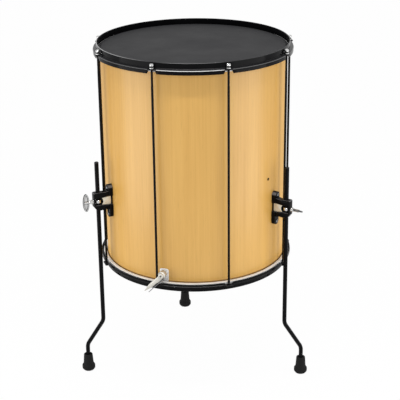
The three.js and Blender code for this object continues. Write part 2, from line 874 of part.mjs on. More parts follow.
// The lever is drawn along +X and then turned about the shaft
function buildMufflerLever() {
  const start = hubStart();
  const end = start + hubLength;
  const radius = hubDiameter / 2;
  const hub = outward([
    [0, start],
    [radius - hubRound, start],
    [radius, start + hubRound],
    [radius, end - hubRound],
    [radius - hubRound, end],
    [0, end],
  ], roundFacets);
  const bladeEdge = bladeShift - bladeWidth / 2;
  const bladeInnerEdge = bladeShift + bladeWidth / 2;
  const blade = polygon([
    [0, bladeEdge],
    [bladeTaperStart, bladeEdge],
    [bladeLength, bladeShift - bladeTipWidth / 2],
    [bladeLength, bladeShift + bladeTipWidth / 2],
    [bladeTaperStart, bladeInnerEdge],
    [leverWebLength, bladeInnerEdge],
    [leverWebLength, prongOffset],
    [0, prongOffset],
  ]);
  const back = start + leverStandoff;
  const sheet = facingOut(blade, back - leverThickness, back);
  const prong = polygon([
    [0, prongOffset - leverThickness],
    [prongLength, prongOffset - leverThickness],
    [prongLength, prongOffset],
    [0, prongOffset],
  ]);
  const flange = facingOut(prong, back - leverThickness, back - leverThickness + prongDepth);
  const turned = joined([sheet, flange]);
  const axis = new THREE.Vector3(0, -1, 0);
  turned.applyMatrix4(new THREE.Matrix4().makeRotationAxis(axis, radians(leverAngle)));
  const socket = outward(
    discOutline(shaftDiameter / 2 + fitGap, start - cutOverrun, start + hubSocketDepth),
    roundFacets,
  );
  return atMuffler(cut(joined([hub, turned]), [socket]));
}

function buildMufflerPaddle() {
  const bore = shaftDiameter / 2 + fitGap;
  const curlRadius = bore + paddleCurlWall;
  const curl = outward(discOutline(curlRadius, paddleInnerRadius, paddleOuterRadius), roundFacets);
  const blade = facingOut(polygon([
    [0, -paddleThickness / 2],
    [0, paddleThickness / 2],
    [-paddleBladeReach, paddleThickness / 2],
    [-paddleBladeReach, -paddleThickness / 2],
  ]), paddleInnerRadius, paddleOuterRadius);
  const hole = outward(
    discOutline(bore, paddleInnerRadius - cutOverrun, paddleOuterRadius + cutOverrun),
    roundFacets,
  );
  return atMuffler(cut(joined([curl, blade]), [hole]));
}

// The felt is folded over the free edge of the paddle
function buildMufflerFelt() {
  const reach = mufflerHeight - shellBottom + fitGap - feltHeadClearance;
  const from = paddleInnerRadius + (paddleLength - feltLength) / 2;
  const shape = roundedBar(feltHeight, feltThickness, feltRound);
  const pad = facingOut(shape, from, from + feltLength).translate(feltHeight / 2 - reach, 0, 0);
  const slotHalf = paddleThickness / 2 + fitGap;
  const slot = facingOut(polygon([
    [-paddleBladeReach - fitGap, -slotHalf],
    [0, -slotHalf],
    [0, slotHalf],
    [-paddleBladeReach - fitGap, slotHalf],
  ]), from - cutOverrun, from + feltLength + cutOverrun);
  return atMuffler(cut(pad, [slot]));
}

// Assembly
addPiece('shell', buildShell(), 'wood');
addPiece('vent_eyelet', buildVentEyelet(), 'blackPaint');
addPiece('batter_head', atHeadEnd(buildSkin(batterChannelHeight), true), 'blackSkin');
addPiece('batter_flesh_hoop', atHeadEnd(buildChannel(batterChannelHeight), true), 'aluminium');
const batterHoop = buildCounterhoop(batterWallRise, batterLipDrop);
addPiece('batter_counterhoop', atHeadEnd(batterHoop, true), 'blackPaint');
addPiece('resonant_head', atHeadEnd(buildSkin(resonantChannelHeight), false), 'blackSkin');
addPiece('resonant_flesh_hoop', atHeadEnd(buildChannel(resonantChannelHeight), false), 'aluminium');
const resonantHoop = buildCounterhoop(resonantWallRise, resonantLipDrop);
addPiece('resonant_counterhoop', atHeadEnd(resonantHoop, false), 'blackPaint');

rodAzimuths.forEach((azimuth, i) => {
  addPiece(`tension_rod_${i + 1}`, buildTensionRod(azimuth), 'blackPaint');
  addPiece(`tension_nut_${i + 1}`, buildTensionNut(azimuth), 'chrome');
});

for (const leg of legs) {
  addPiece(`clamp_bracket_${leg.name}`, buildBracket(leg), 'blackPaint');
  addPiece(`clamp_saddle_${leg.name}`, buildSaddle(leg), 'zinc');
  addPiece(`clamp_eye_bolt_${leg.name}`, buildEyeBolt(leg), 'chrome');
  addPiece(`clamp_washer_${leg.name}`, buildClampWasher(leg), 'chrome');
  addPiece(`clamp_wing_nut_${leg.name}`, buildWingNut(leg), 'chrome');
  addPiece(`leg_rod_${leg.name}`, buildLegRod(leg), 'blackPaint');
  addPiece(`leg_foot_${leg.name}`, buildFoot(leg), 'rubber');
  screwHeights(leg).forEach((height, i) => {
    addPiece(`bracket_screw_${leg.name}_${i + 1}`, buildBracketScrew(leg, height), 'blackPaint');
  });
}

addPiece('muffler_plate', buildMufflerPlate(), 'chrome');
addPiece('muffler_sleeve', buildMufflerSleeve(), 'steel');
addPiece('muffler_sleeve_nut', buildSleeveNut(), 'steel');
addPiece('muffler_shaft', buildMufflerShaft(), 'steel');
addPiece('muffler_lever', buildMufflerLever(), 'steel');
addPiece('muffler_paddle', buildMufflerPaddle(), 'steel');
addPiece('muffler_felt', buildMufflerFelt(), 'felt');

// The origin is the middle of the drum's footprint on the floor
const footprint = new THREE.Box3().setFromObject(surdo, true);
const middle = footprint.getCenter(new THREE.Vector3());
surdo.position.set(-middle.x, -middle.y, -footprint.min.z);

export default surdo;
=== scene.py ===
import math
from types import SimpleNamespace
from typing import NamedTuple

import bmesh
import bpy
from bpy.props import FloatProperty, FloatVectorProperty, IntProperty, PointerProperty
from mathutils import Matrix, Vector


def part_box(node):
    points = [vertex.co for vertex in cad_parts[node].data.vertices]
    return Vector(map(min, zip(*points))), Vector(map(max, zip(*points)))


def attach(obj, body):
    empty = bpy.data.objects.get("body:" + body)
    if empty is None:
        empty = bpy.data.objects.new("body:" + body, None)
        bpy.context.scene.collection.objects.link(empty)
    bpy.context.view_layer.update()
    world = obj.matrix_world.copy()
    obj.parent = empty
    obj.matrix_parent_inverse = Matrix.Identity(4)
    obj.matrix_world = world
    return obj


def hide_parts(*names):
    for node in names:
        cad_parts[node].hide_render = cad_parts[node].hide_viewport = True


bl_info = {
    "name": "Surdo",
    "version": (1, 0, 0),
    "blender": (4, 5, 0),
    "location": "View3D > Sidebar > Surdo",
    "description": "Dresses the surdo's frame with smooth pieces and finishes",
    "category": "Object",
}

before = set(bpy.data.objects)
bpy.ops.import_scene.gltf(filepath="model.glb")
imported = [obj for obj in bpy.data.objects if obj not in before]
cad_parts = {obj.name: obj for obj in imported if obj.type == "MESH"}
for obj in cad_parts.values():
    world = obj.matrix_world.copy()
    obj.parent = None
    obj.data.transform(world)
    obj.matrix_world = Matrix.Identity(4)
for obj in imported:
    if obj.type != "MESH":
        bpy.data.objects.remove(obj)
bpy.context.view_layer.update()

MM = 0.001
shell_low, shell_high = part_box("shell")
AXIS = Vector(((shell_low.x + shell_high.x) / 2, (shell_low.y + shell_high.y) / 2, 0))
SHELL_RADIUS = (shell_high.x - shell_low.x) / 2
SHELL_BOTTOM = shell_low.z
SHELL_TOP = shell_high.z
ROD_COUNT = sum(1 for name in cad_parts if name.startswith("tension_rod_"))

CREASE = 34  # degrees past which an edge is shaded sharp
BLACK = (0, 0, 0)
WHITE = (1, 1, 1)
FINISHES = {}  # filled by the first operator


class LegPlace(NamedTuple):
    """Where a leg stands, in degrees and millimetres."""

    azimuth: float  # round the shell, from the front
    rise: float  # clamp over the shell's lower edge
    top: float  # rod's top over the clamp
    swivel: float  # foot round the rod
    wing_turn: float


LEGS = {
    "left": LegPlace(-63, 199.5, 113.5, -55, 90),
    "right": LegPlace(59.5, 183.5, 119.5, 62, 155),
    "rear": LegPlace(178.4, 191.5, 113.5, 72.4, 30),
}

# A shape drawn as (sideways, height) faces outwards at the front, and one drawn as
# (outwards, height) gets its width across the front
OUTWARD = Matrix.Rotation(math.radians(90), 4, "X")
ACROSS = Matrix(((0, 0, -1, 0), (-1, 0, 0, 0), (0, 1, 0, 0), (0, 0, 0, 1)))


def length(name, description, millimetres):
    return FloatProperty(
        name=name, description=description, default=millimetres * MM, unit="LENGTH", precision=4
    )


def turn(name, description, degrees):
    return FloatProperty(
        name=name, description=description, default=math.radians(degrees), unit="ROTATION"
    )


def tint(name, description, *rgb):
    return FloatVectorProperty(
        name=name, description=description, default=rgb, size=3, subtype="COLOR", min=0, max=1
    )


class SurdoDrumSizes(bpy.types.PropertyGroup):
    wall: length("Wall", "Thickness of the wooden shell", 7)
    edge: length("Edge", "Width of the rounding on the shell's bearing edges", 3)
    fit: length("Fit", "Gap between pieces that touch", 0.3)
    film: length("Film", "Thickness of a head's film", 0.8)
    channel_clearance: length("Channel clearance", "Shell to the flesh hoop's inner face", 2.3)
    channel_width: length("Channel width", "Width of the aluminium flesh hoop", 9.2)
    channel_wall: length("Channel wall", "Inner wall of the flesh hoop", 1.2)
    channel_slot: length("Channel slot", "Slot that holds the film", 3.1)
    upper_channel: length("Upper channel", "Height of the upper flesh hoop", 7.5)
    lower_channel: length("Lower channel", "Height of the lower flesh hoop", 6)
    rim_wall: length("Rim wall", "Thickness of a rim's standing wall", 2.4)
    upper_rise: length("Upper rise", "How far the upper rim stands over its head", 15.7)
    lower_rise: length("Lower rise", "How far the lower rim stands over its head", 13.5)
    flange: length("Flange", "Thickness of a rim's flange", 2.2)
    lip_reach: length("Lip reach", "Rim wall to the lip's outer face", 9)
    lip_wall: length("Lip wall", "Thickness of the lip turned back", 2)
    upper_drop: length("Upper drop", "How far the upper lip hangs over the shell", 13.7)
    lower_drop: length("Lower drop", "How far the lower lip hangs over the shell", 10.7)
    lug_width: length("Lug width", "Width of a rim's drilled lug", 22)
    lug_thickness: length("Lug thickness", "Thickness of a lug", 3.4)
    notch_width: length("Notch width", "Opening in the lip at a rod", 16)
    notch_spread: length("Notch spread", "Slant of a notch's sides", 10)
    ring_steps: IntProperty(name="Ring steps", description="Facets round a ring", default=240)


class SurdoHardwareSizes(bpy.types.PropertyGroup):
    rod: length("Rod", "Diameter of a tension rod", 6.4)
    rod_head: length("Rod head", "Across the corners of a rod's head", 11)
    rod_head_height: length("Rod head height", "Height of a rod's head", 6)
    nut_flange: length("Nut flange", "Diameter of a cap nut's flange", 12.6)
    nut_height: length("Nut height", "Height of a cap nut", 12.5)
    vent: length("Vent", "Diameter of the vent's eyelet", 7.5)
    vent_turn: turn("Vent turn", "Place of the vent round the shell", 53)
    vent_rise: length("Vent rise", "Vent above the shell's lower edge", 270)


class SurdoLegSizes(bpy.types.PropertyGroup):
    rod: length("Leg rod", "Diameter of a leg rod", 12)
    standoff: length("Standoff", "Shell to a leg rod's axis", 40.5)
    bend: length("Bend", "Radius of a leg rod's bends", 34)
    upper_bend: length("Upper bend", "Height of the upper bend", 174)
    lower_bend: length("Lower bend", "Height of the lower bend", 81)
    offset: length("Offset", "How far a foot stands off its rod's axis", 59.5)
    foot: length("Foot", "Height of a rubber foot", 50)
    foot_base: length("Foot base", "Diameter of a foot's base", 37.5)
    foot_top: length("Foot top", "Diameter of a foot's top", 25)
    foot_waist: length("Foot waist", "Diameter over a foot's flare", 27.5)
    plate_width: length("Plate width", "Width of a bracket's plate", 22)
    plate_height: length("Plate height", "Height of a bracket's plate", 96)
    plate: length("Plate", "Thickness of a bracket's plate", 8.5)
    lobe_crown: length("Lobe crown", "How much thicker the upper lobe is than the plate", 4)
    plate_drop: length("Plate drop", "How far the plate's middle sits below the clamp's", 4)
    arm_width: length("Arm width", "Width of a bracket's arms", 17)
    screw_spacing: length("Screw spacing", "Distance between a bracket's screws", 77)
    eye: length("Eye", "Diameter of an eye bolt's eye", 18)
    wing_span: length("Wing span", "Width over a wing nut's wings", 51)
    wing_depth: length("Wing depth", "Depth of a wing nut's wings", 18)


class SurdoMufflerSizes(bpy.types.PropertyGroup):
    turned: turn("Place", "Place of the muffler round the shell", -17.7)
    rise: length("Rise", "Muffler's shaft above the shell's lower edge", 35)
    plate_width: length("Plate width", "Width of the muffler's plate", 25)
    plate_height: length("Plate height", "Height of the muffler's plate", 36)
    hub: length("Hub", "Diameter of the lever's hub", 21)
    hub_length: length("Hub length", "Length of the lever's hub", 26)
    blade: length("Blade", "Length of the lever's blade", 71)
    prong: length("Prong", "Length of the lever's prong", 62)
    lever_turn: turn("Lever turn", "Direction of the lever", 225)
    paddle: length("Paddle", "Length of the felt's paddle", 58)


class SurdoColours(bpy.types.PropertyGroup):
    wood_pale: tint("Pale wood", "Lightest streaks of the veneer", 0.745, 0.440, 0.120)
    wood_deep: tint("Deep wood", "Darkest streaks of the veneer", 0.595, 0.318, 0.068)
    film: tint("Film", "Film of the heads", 0.0248, 0.0248, 0.0263)
    paint: tint("Paint", "Black powder coat", 0.003, 0.003, 0.0035)
    aluminium: tint("Aluminium", "Flesh hoops", 0.93, 0.93, 0.92)
    chrome: tint("Chrome", "Nuts and wing nuts", 0.60, 0.60, 0.595)
    zinc: tint("Zinc", "Clamp saddles", 0.74, 0.70, 0.58)
    steel: tint("Steel", "Muffler lever", 0.66, 0.64, 0.58)
    rubber: tint("Rubber", "Feet", 0.008, 0.008, 0.008)
    felt: tint("Felt", "Muffler pad", 0.34, 0.32, 0.27)


class SurdoStudio(bpy.types.PropertyGroup):
    side_lamps: FloatProperty(
        name="Side lamps", description="Power of each side panel", default=5.8
    )
    top_lamp: FloatProperty(name="Top lamp", description="Power of the strip above", default=24)
    sky: FloatProperty(
        name="Sky", description="Light from all round", default=0.635, subtype="FACTOR"
    )


# Drawing helpers


def outline_with_rounds(corners, steps=4):
    """Outline points from (x, y, rounding) corners, each rounding being a radius or 0."""
    points = []
    for i, (x, y, rounding) in enumerate(corners):
        here = Vector((x, y))
        if not rounding:
            points.append(here)
            continue
        before = Vector(corners[i - 1][:2])
        after = Vector(corners[(i + 1) % len(corners)][:2])
        back, on = (before - here).normalized(), (after - here).normalized()
        half = back.angle(on) / 2
        reach = rounding / math.tan(half)
        centre = here + (back + on).normalized() * (rounding / math.sin(half))
        start, end = here + back * reach - centre, here + on * reach - centre
        sweep = start.angle_signed(end)
        for k in range(steps + 1):
            points.append(centre + Matrix.Rotation(-sweep * k / steps, 2) @ start)
    return [(p.x, p.y) for p in points]


def revolved(outline, steps=48, closed=True):
    """Spins (radius, height) points about Z into a surface of its own."""
    bm = bmesh.new()
    made = [bm.verts.new((radius, 0, height)) for radius, height in outline]
    edges = [bm.edges.new(pair) for pair in zip(made, made[1:])]
    if closed:
        edges.append(bm.edges.new((made[-1], made[0])))
    bmesh.ops.spin(
        bm, geom=made + edges, cent=(0, 0, 0), axis=(0, 0, 1), angle=math.tau,
        steps=steps, use_merge=True,
    )
    poles = [v for v in bm.verts if v.co.xy.length < 1e-7]
    bmesh.ops.remove_doubles(bm, verts=poles, dist=1e-6)
    return bm


def soften(bm, width, segments=2, sharper_than=30):
    """Bevels the edges that are sharper than an angle."""
    edges = [
        e for e in bm.edges
        if len(e.link_faces) == 2 and e.calc_face_angle() > math.radians(sharper_than)
    ]
    bmesh.ops.bevel(
        bm, geom=edges, offset=width, affect="EDGES", segments=segments, profile=0.5,
        material=-1, clamp_overlap=True,
    )


def slab(outline, start, end, rounding=0, segments=2):
    """Pushes a flat (x, y) outline from one height to another and rounds its edges."""
    bm = bmesh.new()
    face = bm.faces.new([bm.verts.new((x, y, start)) for x, y in outline])
    pushed_out(bm, face, end - start)
    if rounding:
        soften(bm, rounding, segments)
    return bm


def in_mm(corners, base=0.0):
    """Corners in metres from corners in millimetres, with their heights over a base."""
    return [(x * MM, base + y * MM, rounding * MM) for x, y, rounding in corners]


def lathe(corners, rounds, facets, closed=False):
    """Spins (radius, height, rounding) corners, which end on the axis if they aren't closed."""
    return revolved(outline_with_rounds(corners, rounds), facets, closed)


def hexagon(radius):
    angles = (math.tau * k / 6 for k in range(6))
    return [(radius * math.cos(a), radius * math.sin(a)) for a in angles]


def pushed_out(bm, face, by):
    """Extrudes a flat face straight up."""
    made = bmesh.ops.extrude_face_region(bm, geom=[face])
    far = [v for v in made["geom"] if isinstance(v, bmesh.types.BMVert)]
    bmesh.ops.translate(bm, vec=(0, 0, by), verts=far)
    bmesh.ops.recalc_face_normals(bm, faces=bm.faces)


def moved(bm, matrix):
    bmesh.ops.transform(bm, matrix=matrix, verts=bm.verts)
    return bm


def joined(first, *others):
    """Gathers other bmeshes in the first one."""
    for part in others:
        carrier = bpy.data.meshes.new("carrier")
        part.to_mesh(carrier)
        part.free()
        first.from_mesh(carrier)
        bpy.data.meshes.remove(carrier)
    return first


def stand(bm, azimuth, height=0.0):
    """Turns a shape drawn at the front to its place round the drum's axis."""
    place = Matrix.Translation(AXIS + Vector((0, 0, height)))
    return moved(bm, place @ Matrix.Rotation(azimuth, 4, "Z"))


def at_head_end(bm, is_top):
    """Places a shape drawn with height 0 on a bearing edge, and positive away from the shell."""
    if not is_top:
        moved(bm, Matrix.Diagonal((1, 1, -1, 1)))
        bmesh.ops.reverse_faces(bm, faces=bm.faces)
    stand(bm, 0, SHELL_TOP if is_top else SHELL_BOTTOM)


def mesh_from(bm, name):
    bmesh.ops.recalc_face_normals(bm, faces=bm.faces)
    mesh = bpy.data.meshes.new(name)
    bm.to_mesh(mesh)
    bm.free()
    mesh.shade_smooth()
    mesh.set_sharp_from_angle(angle=math.radians(CREASE))
    return mesh


def in_second_finish(bm):
    for face in bm.faces:
        face.material_index = 1
    return bm


def add_piece(bm, node, finish, body="drum", name=None, second=None):
    """Makes an object of a bmesh that stands for one CAD node."""
    piece = bpy.data.objects.new(name or f"{node}_fine", mesh_from(bm, node))
    bpy.context.scene.collection.objects.link(piece)
    material = FINISHES[finish]
    piece.data.materials.append(material)
    if second:
        piece.data.materials.append(FINISHES[second])
    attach(piece, body)
    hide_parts(node)
    return piece


def bored(bm, cutter):
    """Cuts one bmesh out of another."""
    things = []
    for part in (bm, cutter):
        thing = bpy.data.objects.new("bored", mesh_from(part, "bored"))
        bpy.context.scene.collection.objects.link(thing)
        things.append(thing)
    cut = things[0].modifiers.new("bore", "BOOLEAN")
    cut.operation = "DIFFERENCE"
    cut.solver = "EXACT"
    cut.object = things[1]
    seen = things[0].evaluated_get(bpy.context.evaluated_depsgraph_get())
    result = bmesh.new()
    result.from_mesh(seen.to_mesh())
    seen.to_mesh_clear()
    for thing in things:
        mesh = thing.data
        bpy.data.objects.remove(thing)
        bpy.data.meshes.remove(mesh)
    return result


# Materials


def grey(value):
    return (value, value, value)


def add_node(tree, kind, inputs=(), **settings):
    """Adds a shader node with its settings, and feeds its inputs from outputs or plain values."""
    node = tree.nodes.new(f"ShaderNode{kind}")
    for name, value in settings.items():
        setattr(node, name, value)
    for key, value in dict(inputs).items():
        if isinstance(value, bpy.types.NodeSocket):
            tree.links.new(value, node.inputs[key])
        else:
            node.inputs[key].default_value = value
    return node


class Finish:
    """A material of its own, with short calls for the nodes that its pattern needs."""

    def __init__(self, name, slot, colour, roughness, metallic=0.0, specular=0.5):
        self.material = bpy.data.materials.new(name)
        self.material.use_nodes = True
        if slot:
            self.material["slot"] = slot
        self.tree = self.material.node_tree
        self.shader = self.tree.nodes["Principled BSDF"]
        self.plain({
            "Base Color": (*colour, 1), "Roughness": roughness, "Metallic": metallic,
            "Specular IOR Level": specular,
        })
        where = add_node(self.tree, "TexCoord")
        self.place, self.facing = where.outputs["Object"], where.outputs["Normal"]

    def plain(self, values):
        """Sets the shader's own inputs."""
        for key, value in values.items():
            self.shader.inputs[key].default_value = value

    def noise(self, scale, stretch=(1, 1, 1), detail=3.0, roughness=0.55, distortion=0.0):
        """Noise on object coordinates that are centred on the drum and stretched."""
        centred = [-c * s for c, s in zip(AXIS, stretch)]
        mapped = add_node(
            self.tree, "Mapping", {"Scale": stretch, "Location": centred, "Vector": self.place},
            vector_type="POINT",
        )
        return add_node(self.tree, "TexNoise", {
            "Scale": scale, "Detail": detail, "Roughness": roughness, "Distortion": distortion,
            "Vector": mapped.outputs["Vector"],
        }).outputs["Fac"]

    def spread(self, source, low, high, start=0.0, end=1.0):
        """Maps a range of a pattern to new values."""
        return add_node(self.tree, "MapRange", {
            "From Min": low, "From Max": high, "To Min": start, "To Max": end, "Value": source,
        }).outputs["Result"]

    def painted_hollow_shade(self, reach):
        """Painted shade: near 0 in a piece's own corners and recesses, and 1 on its open faces."""
        node = add_node(
            self.tree, "AmbientOcclusion", {"Distance": reach}, only_local=True, samples=8
        )
        return self.spread(node.outputs["AO"], 0.55, 0.92)

    def part_of(self, source, axis):
        """One of the three values of a place or a direction."""
        return add_node(self.tree, "SeparateXYZ", {"Vector": source}).outputs[axis]

    def ramp(self, source, stops):
        node = add_node(self.tree, "ValToRGB", {"Fac": source})
        elements = node.color_ramp.elements
        while len(elements) < len(stops):
            elements.new(0.5)
        for element, (place, colour) in zip(elements, stops):
            element.position = place
            element.color = (*colour, 1)
        return node.outputs["Color"]

    def blend(self, share_of, first, second, how="MIX"):
        """Mixes two colours, where each is an output or a plain colour and share_of too."""
        colours = [
            value if isinstance(value, bpy.types.NodeSocket) else (*value, 1)
            for value in (first, second)
        ]
        return add_node(
            self.tree, "Mix", {0: share_of, 6: colours[0], 7: colours[1]},
            data_type="RGBA", blend_type=how,
        ).outputs[2]

    def masked(self, colour, *masks):
        """Fades a colour to black where any of the masks is low."""
        for mask in masks:
            colour = self.blend(mask, BLACK, colour)
        return colour

    def colour(self, source):
        self.tree.links.new(source, self.shader.inputs["Base Color"])

    def roughness(self, source):
        self.tree.links.new(source, self.shader.inputs["Roughness"])

    def bump(self, source, height, strength=1.0):
        """Adds a bump on top of any that is there already."""
        inputs = {"Strength": strength, "Distance": height, "Height": source}
        before = self.shader.inputs["Normal"]
        if before.is_linked:
            inputs["Normal"] = before.links[0].from_socket
        self.tree.links.new(add_node(self.tree, "Bump", inputs).outputs["Normal"], before)


def darker(colour, factor):
    return tuple(c * factor for c in colour)


def wood_finish(pale, deep):
    """Honey lacquer over an upright veneer: broad tones, fine streaks and short dark pores, with
    painted shade under the upper rim and over the lower flesh hoop.
    """
    wood = Finish("lacquered_wood", "wood", pale, 0.42, specular=0.0)
    broad = wood.noise(16, (1, 1, 0.06), detail=3, roughness=0.6, distortion=0.4)
    streaks = wood.noise(210, (1, 1, 0.012), detail=4, roughness=0.62)
    tone = wood.blend(0.45, wood.ramp(broad, [(0.32, deep), (0.68, pale)]),
                      wood.ramp(streaks, [(0.30, deep), (0.70, pale)]))
    pores = wood.spread(wood.noise(900, (1, 1, 0.022), detail=1), 0.66, 0.74)
    cloud = wood.spread(wood.noise(5, (1, 1, 0.5), detail=2), 0.35, 0.65, 0, 0.22)
    tone = wood.blend(cloud, tone, darker(pale, 1.08))
    tone = wood.blend(wood.spread(pores, 0, 1, 0, 0.28), tone, darker(deep, 0.62))
    height = wood.part_of(wood.place, "Z")
    # Painted shade: a soft darker band under the upper rim, where its shadow falls, and a narrow
    # dark line just over the lower flesh hoop, in the gap between the parts
    under_rim = wood.spread(height, SHELL_TOP - 27 * MM, SHELL_TOP - 13 * MM, 0, 0.5)
    over_rim = wood.spread(height, SHELL_BOTTOM + 13.5 * MM, SHELL_BOTTOM + 11.5 * MM, 0, 0.75)
    painted_rim_shade = wood.blend(under_rim, WHITE, (0.72, 0.7, 0.66))
    painted_rim_shade = wood.blend(over_rim, painted_rim_shade, (0.3, 0.24, 0.18))
    wood.colour(wood.blend(1.0, tone, painted_rim_shade, "MULTIPLY"))
    wood.roughness(wood.spread(streaks, 0.3, 0.7, 0.36, 0.5))
    wood.bump(streaks, 0.00006, 0.5)
    wood.bump(pores, 0.00004, -0.4)
    wood.plain({"Coat Weight": 0.29, "Coat Roughness": 0.3, "Coat IOR": 2.2})
    return wood.material


def film_finish(colour):
    """Matte drum film with a fine tooth, dulled unevenly by playing."""
    film = Finish("dark_film", "black_skin", colour, 0.62, specular=0.11)
    wear = film.noise(9, detail=4, roughness=0.6)
    tooth = film.noise(1400, detail=2)
    film.colour(film.blend(film.spread(wear, 0.3, 0.7), darker(colour, 0.9), darker(colour, 1.1)))
    film.roughness(film.spread(wear, 0.3, 0.7, 0.56, 0.7))
    film.bump(tooth, 0.00003, 0.5)
    return film.material


def paint_finish(colour, name, edge_highlight, is_rim=False, roughness=0.13):
    """Black powder coat: orange peel, dust, level faces painted paler as dust and as painted
    light from above, and painted highlights on rounded edges.

    A rim's painted highlight is strongest along the bead of the upper lip in front, with a
    painted highlight line along the top of its wall at the near left.
    """
    paint = Finish(name, "black_paint", colour, roughness, specular=0.06)
    peel = paint.noise(520, detail=2)
    dust = paint.noise(26, detail=5, roughness=0.65)
    height = paint.part_of(paint.facing, "Z")
    coat = paint.blend(paint.spread(dust, 0.45, 0.8, 0, 0.5), colour, darker(colour, 2.2))
    # Faces that look up are painted paler, as dust and as painted light from above
    coat = paint.blend(paint.spread(height, 0.6, 0.98), coat, darker(colour, 4))
    # Painted highlight: rounded edges that face partly up are painted a paler grey
    edge = paint.ramp(height, [(0.15, BLACK), (0.4, WHITE), (0.75, WHITE), (0.93, BLACK)])
    worn = paint.masked(edge_highlight, edge)
    if is_rim:
        # On a rim the painted highlight is kept strongest along the upper lip's bead at the front,
        # and weaker elsewhere and on the lower rim
        side, front, level = (paint.part_of(paint.place, axis) for axis in "XYZ")
        over_bead = paint.spread(level, SHELL_TOP - 32.6 * MM, SHELL_TOP + 8 * MM)
        worn = paint.masked(
            worn,
            paint.spread(front, AXIS.y - 0.248, AXIS.y - 0.262, 0.15, 1),
            paint.ramp(over_bead, [
                (0.75, WHITE), (0.77, grey(0.12)), (0.9, grey(0.12)), (0.98, grey(0.3)),
            ]),
            paint.spread(level, SHELL_BOTTOM + 0.03, SHELL_BOTTOM + 0.06, 0.15, 1),
        )
        # Painted highlight: a pale line along the top of the upper rim's wall at the near left
        near_top_highlight = paint.masked(
            grey(0.36),
            paint.spread(level, SHELL_TOP + 14.7 * MM, SHELL_TOP + 15.3 * MM),
            paint.spread(side, AXIS.x - 0.1, AXIS.x - 0.2),
            paint.spread(front, AXIS.y + 0.02, AXIS.y - 0.03),
        )
        worn = paint.blend(1.0, worn, near_top_highlight, "ADD")
    paint.colour(paint.blend(1.0, coat, worn, "ADD"))
    paint.roughness(paint.spread(dust, 0.3, 0.75, roughness - 0.04, roughness + 0.08))
    paint.bump(peel, 0.00002, 0.25)
    return paint.material


def metal_finish(
    name, slot, colour, roughness, brush=(1, 1, 1), scale=600, depth=0.00002, metallic=1.0
):
    """Plated or bare metal with fine brushing, cloudy wear and painted shade in its own corners and
    recesses.
    """
    metal = Finish(name, slot, colour, roughness, metallic=metallic)
    grain = metal.noise(scale, brush, detail=3)
    wear = metal.noise(30, detail=4, roughness=0.6)
    worn = metal.blend(metal.spread(wear, 0.35, 0.75, 0, 1), colour, darker(colour, 0.84))
    # Painted shade: the colour darkens in the piece's own corners and recesses
    metal.colour(metal.blend(metal.painted_hollow_shade(4 * MM), darker(colour, 0.12), worn))
    metal.roughness(metal.spread(wear, 0.3, 0.75, roughness * 0.8, roughness * 1.4))
    metal.bump(grain, depth, 0.4)
    return metal.material


def rubber_finish(colour):
    """Matte moulded rubber with a fine grain and a dusty bloom."""
    rubber = Finish("moulded_rubber", "rubber", colour, 0.78, specular=0.15)
    grain = rubber.noise(1100, detail=2)
    bloom = rubber.noise(60, detail=4)
    dusty = rubber.spread(bloom, 0.4, 0.8, 0, 0.8)
    rubber.colour(rubber.blend(dusty, colour, darker(colour, 1.9)))
    rubber.roughness(rubber.spread(bloom, 0.3, 0.7, 0.7, 0.88))
    rubber.bump(grain, 0.00005, 0.5)
    return rubber.material


def felt_finish(colour):
    """Pressed wool felt: tangled fibres, soft sheen and uneven tone."""
    felt = Finish("pressed_felt", "felt", colour, 0.95, specular=0.1)
    fibres = felt.noise(1500, (1, 0.25, 1), detail=5, roughness=0.7, distortion=1.2)
    tone = felt.noise(160, detail=4)
    uneven = felt.spread(tone, 0.3, 0.7)
    felt.colour(felt.blend(uneven, darker(colour, 0.8), darker(colour, 1.15)))
    felt.bump(fibres, 0.0003, 0.7)
    felt.plain({"Sheen Weight": 0.35})
    return felt.material


def build_finishes(colours):
    paint = colours.paint[:]
    FINISHES.update(
        wood=wood_finish(colours.wood_pale[:], colours.wood_deep[:]),
        film=film_finish(colours.film[:]),
        # The third value of each paint is the grey of its painted highlight on rounded edges
        paint=paint_finish(paint, "black_powder_coat", (0.008, 0.008, 0.009)),
        cast=paint_finish(paint, "painted_casting", (0.15, 0.15, 0.157)),
        rim=paint_finish(paint, "powder_coat_painted_highlights", grey(0.9), is_rim=True),
        screw=metal_finish("black_nickel", "black_paint", (0.2, 0.2, 0.205), 0.2),
        # Painted reflection: a near-black chrome for the wing nuts' borders and side walls
        tarnish=metal_finish("tarnished_chrome", "chrome", grey(0.06), 0.3),
        aluminium=metal_finish(
            "rolled_aluminium", "aluminium", colours.aluminium[:], 0.45,
            brush=(0.3, 0.3, 6), scale=300, metallic=0.2,
        ),
        nickel=metal_finish("satin_nickel", "chrome", grey(0.9), 0.42, metallic=0.5),
        chrome=metal_finish("bright_chrome", "chrome", colours.chrome[:], 0.12),
        zinc=metal_finish(
            "cast_zinc", "zinc", colours.zinc[:], 0.42, scale=420, depth=0.00006, metallic=0.5
        ),
        steel=metal_finish(
            "plated_steel", "steel", colours.steel[:], 0.34, brush=(1, 1, 0.2), metallic=0.6
        ),
        rubber=rubber_finish(colours.rubber[:]),
        felt=felt_finish(colours.felt[:]),
    )


# Shell and heads


def drum_radii(sizes):
    """The rings' radii, each from the one inside it."""
    channel = SHELL_RADIUS + sizes.channel_clearance
    slot_inner = channel + sizes.channel_wall
    slot_outer = slot_inner + sizes.channel_slot
    hoop_inner = slot_outer + 1 * MM
    hoop_wall = hoop_inner + sizes.rim_wall
    return SimpleNamespace(
        channel=channel,
        channel_outer=channel + sizes.channel_width,
        slot_inner=slot_inner,
        slot_outer=slot_outer,
        hoop_inner=hoop_inner,
        hoop_wall=hoop_wall,
        lip=hoop_wall + sizes.lip_reach,
    )


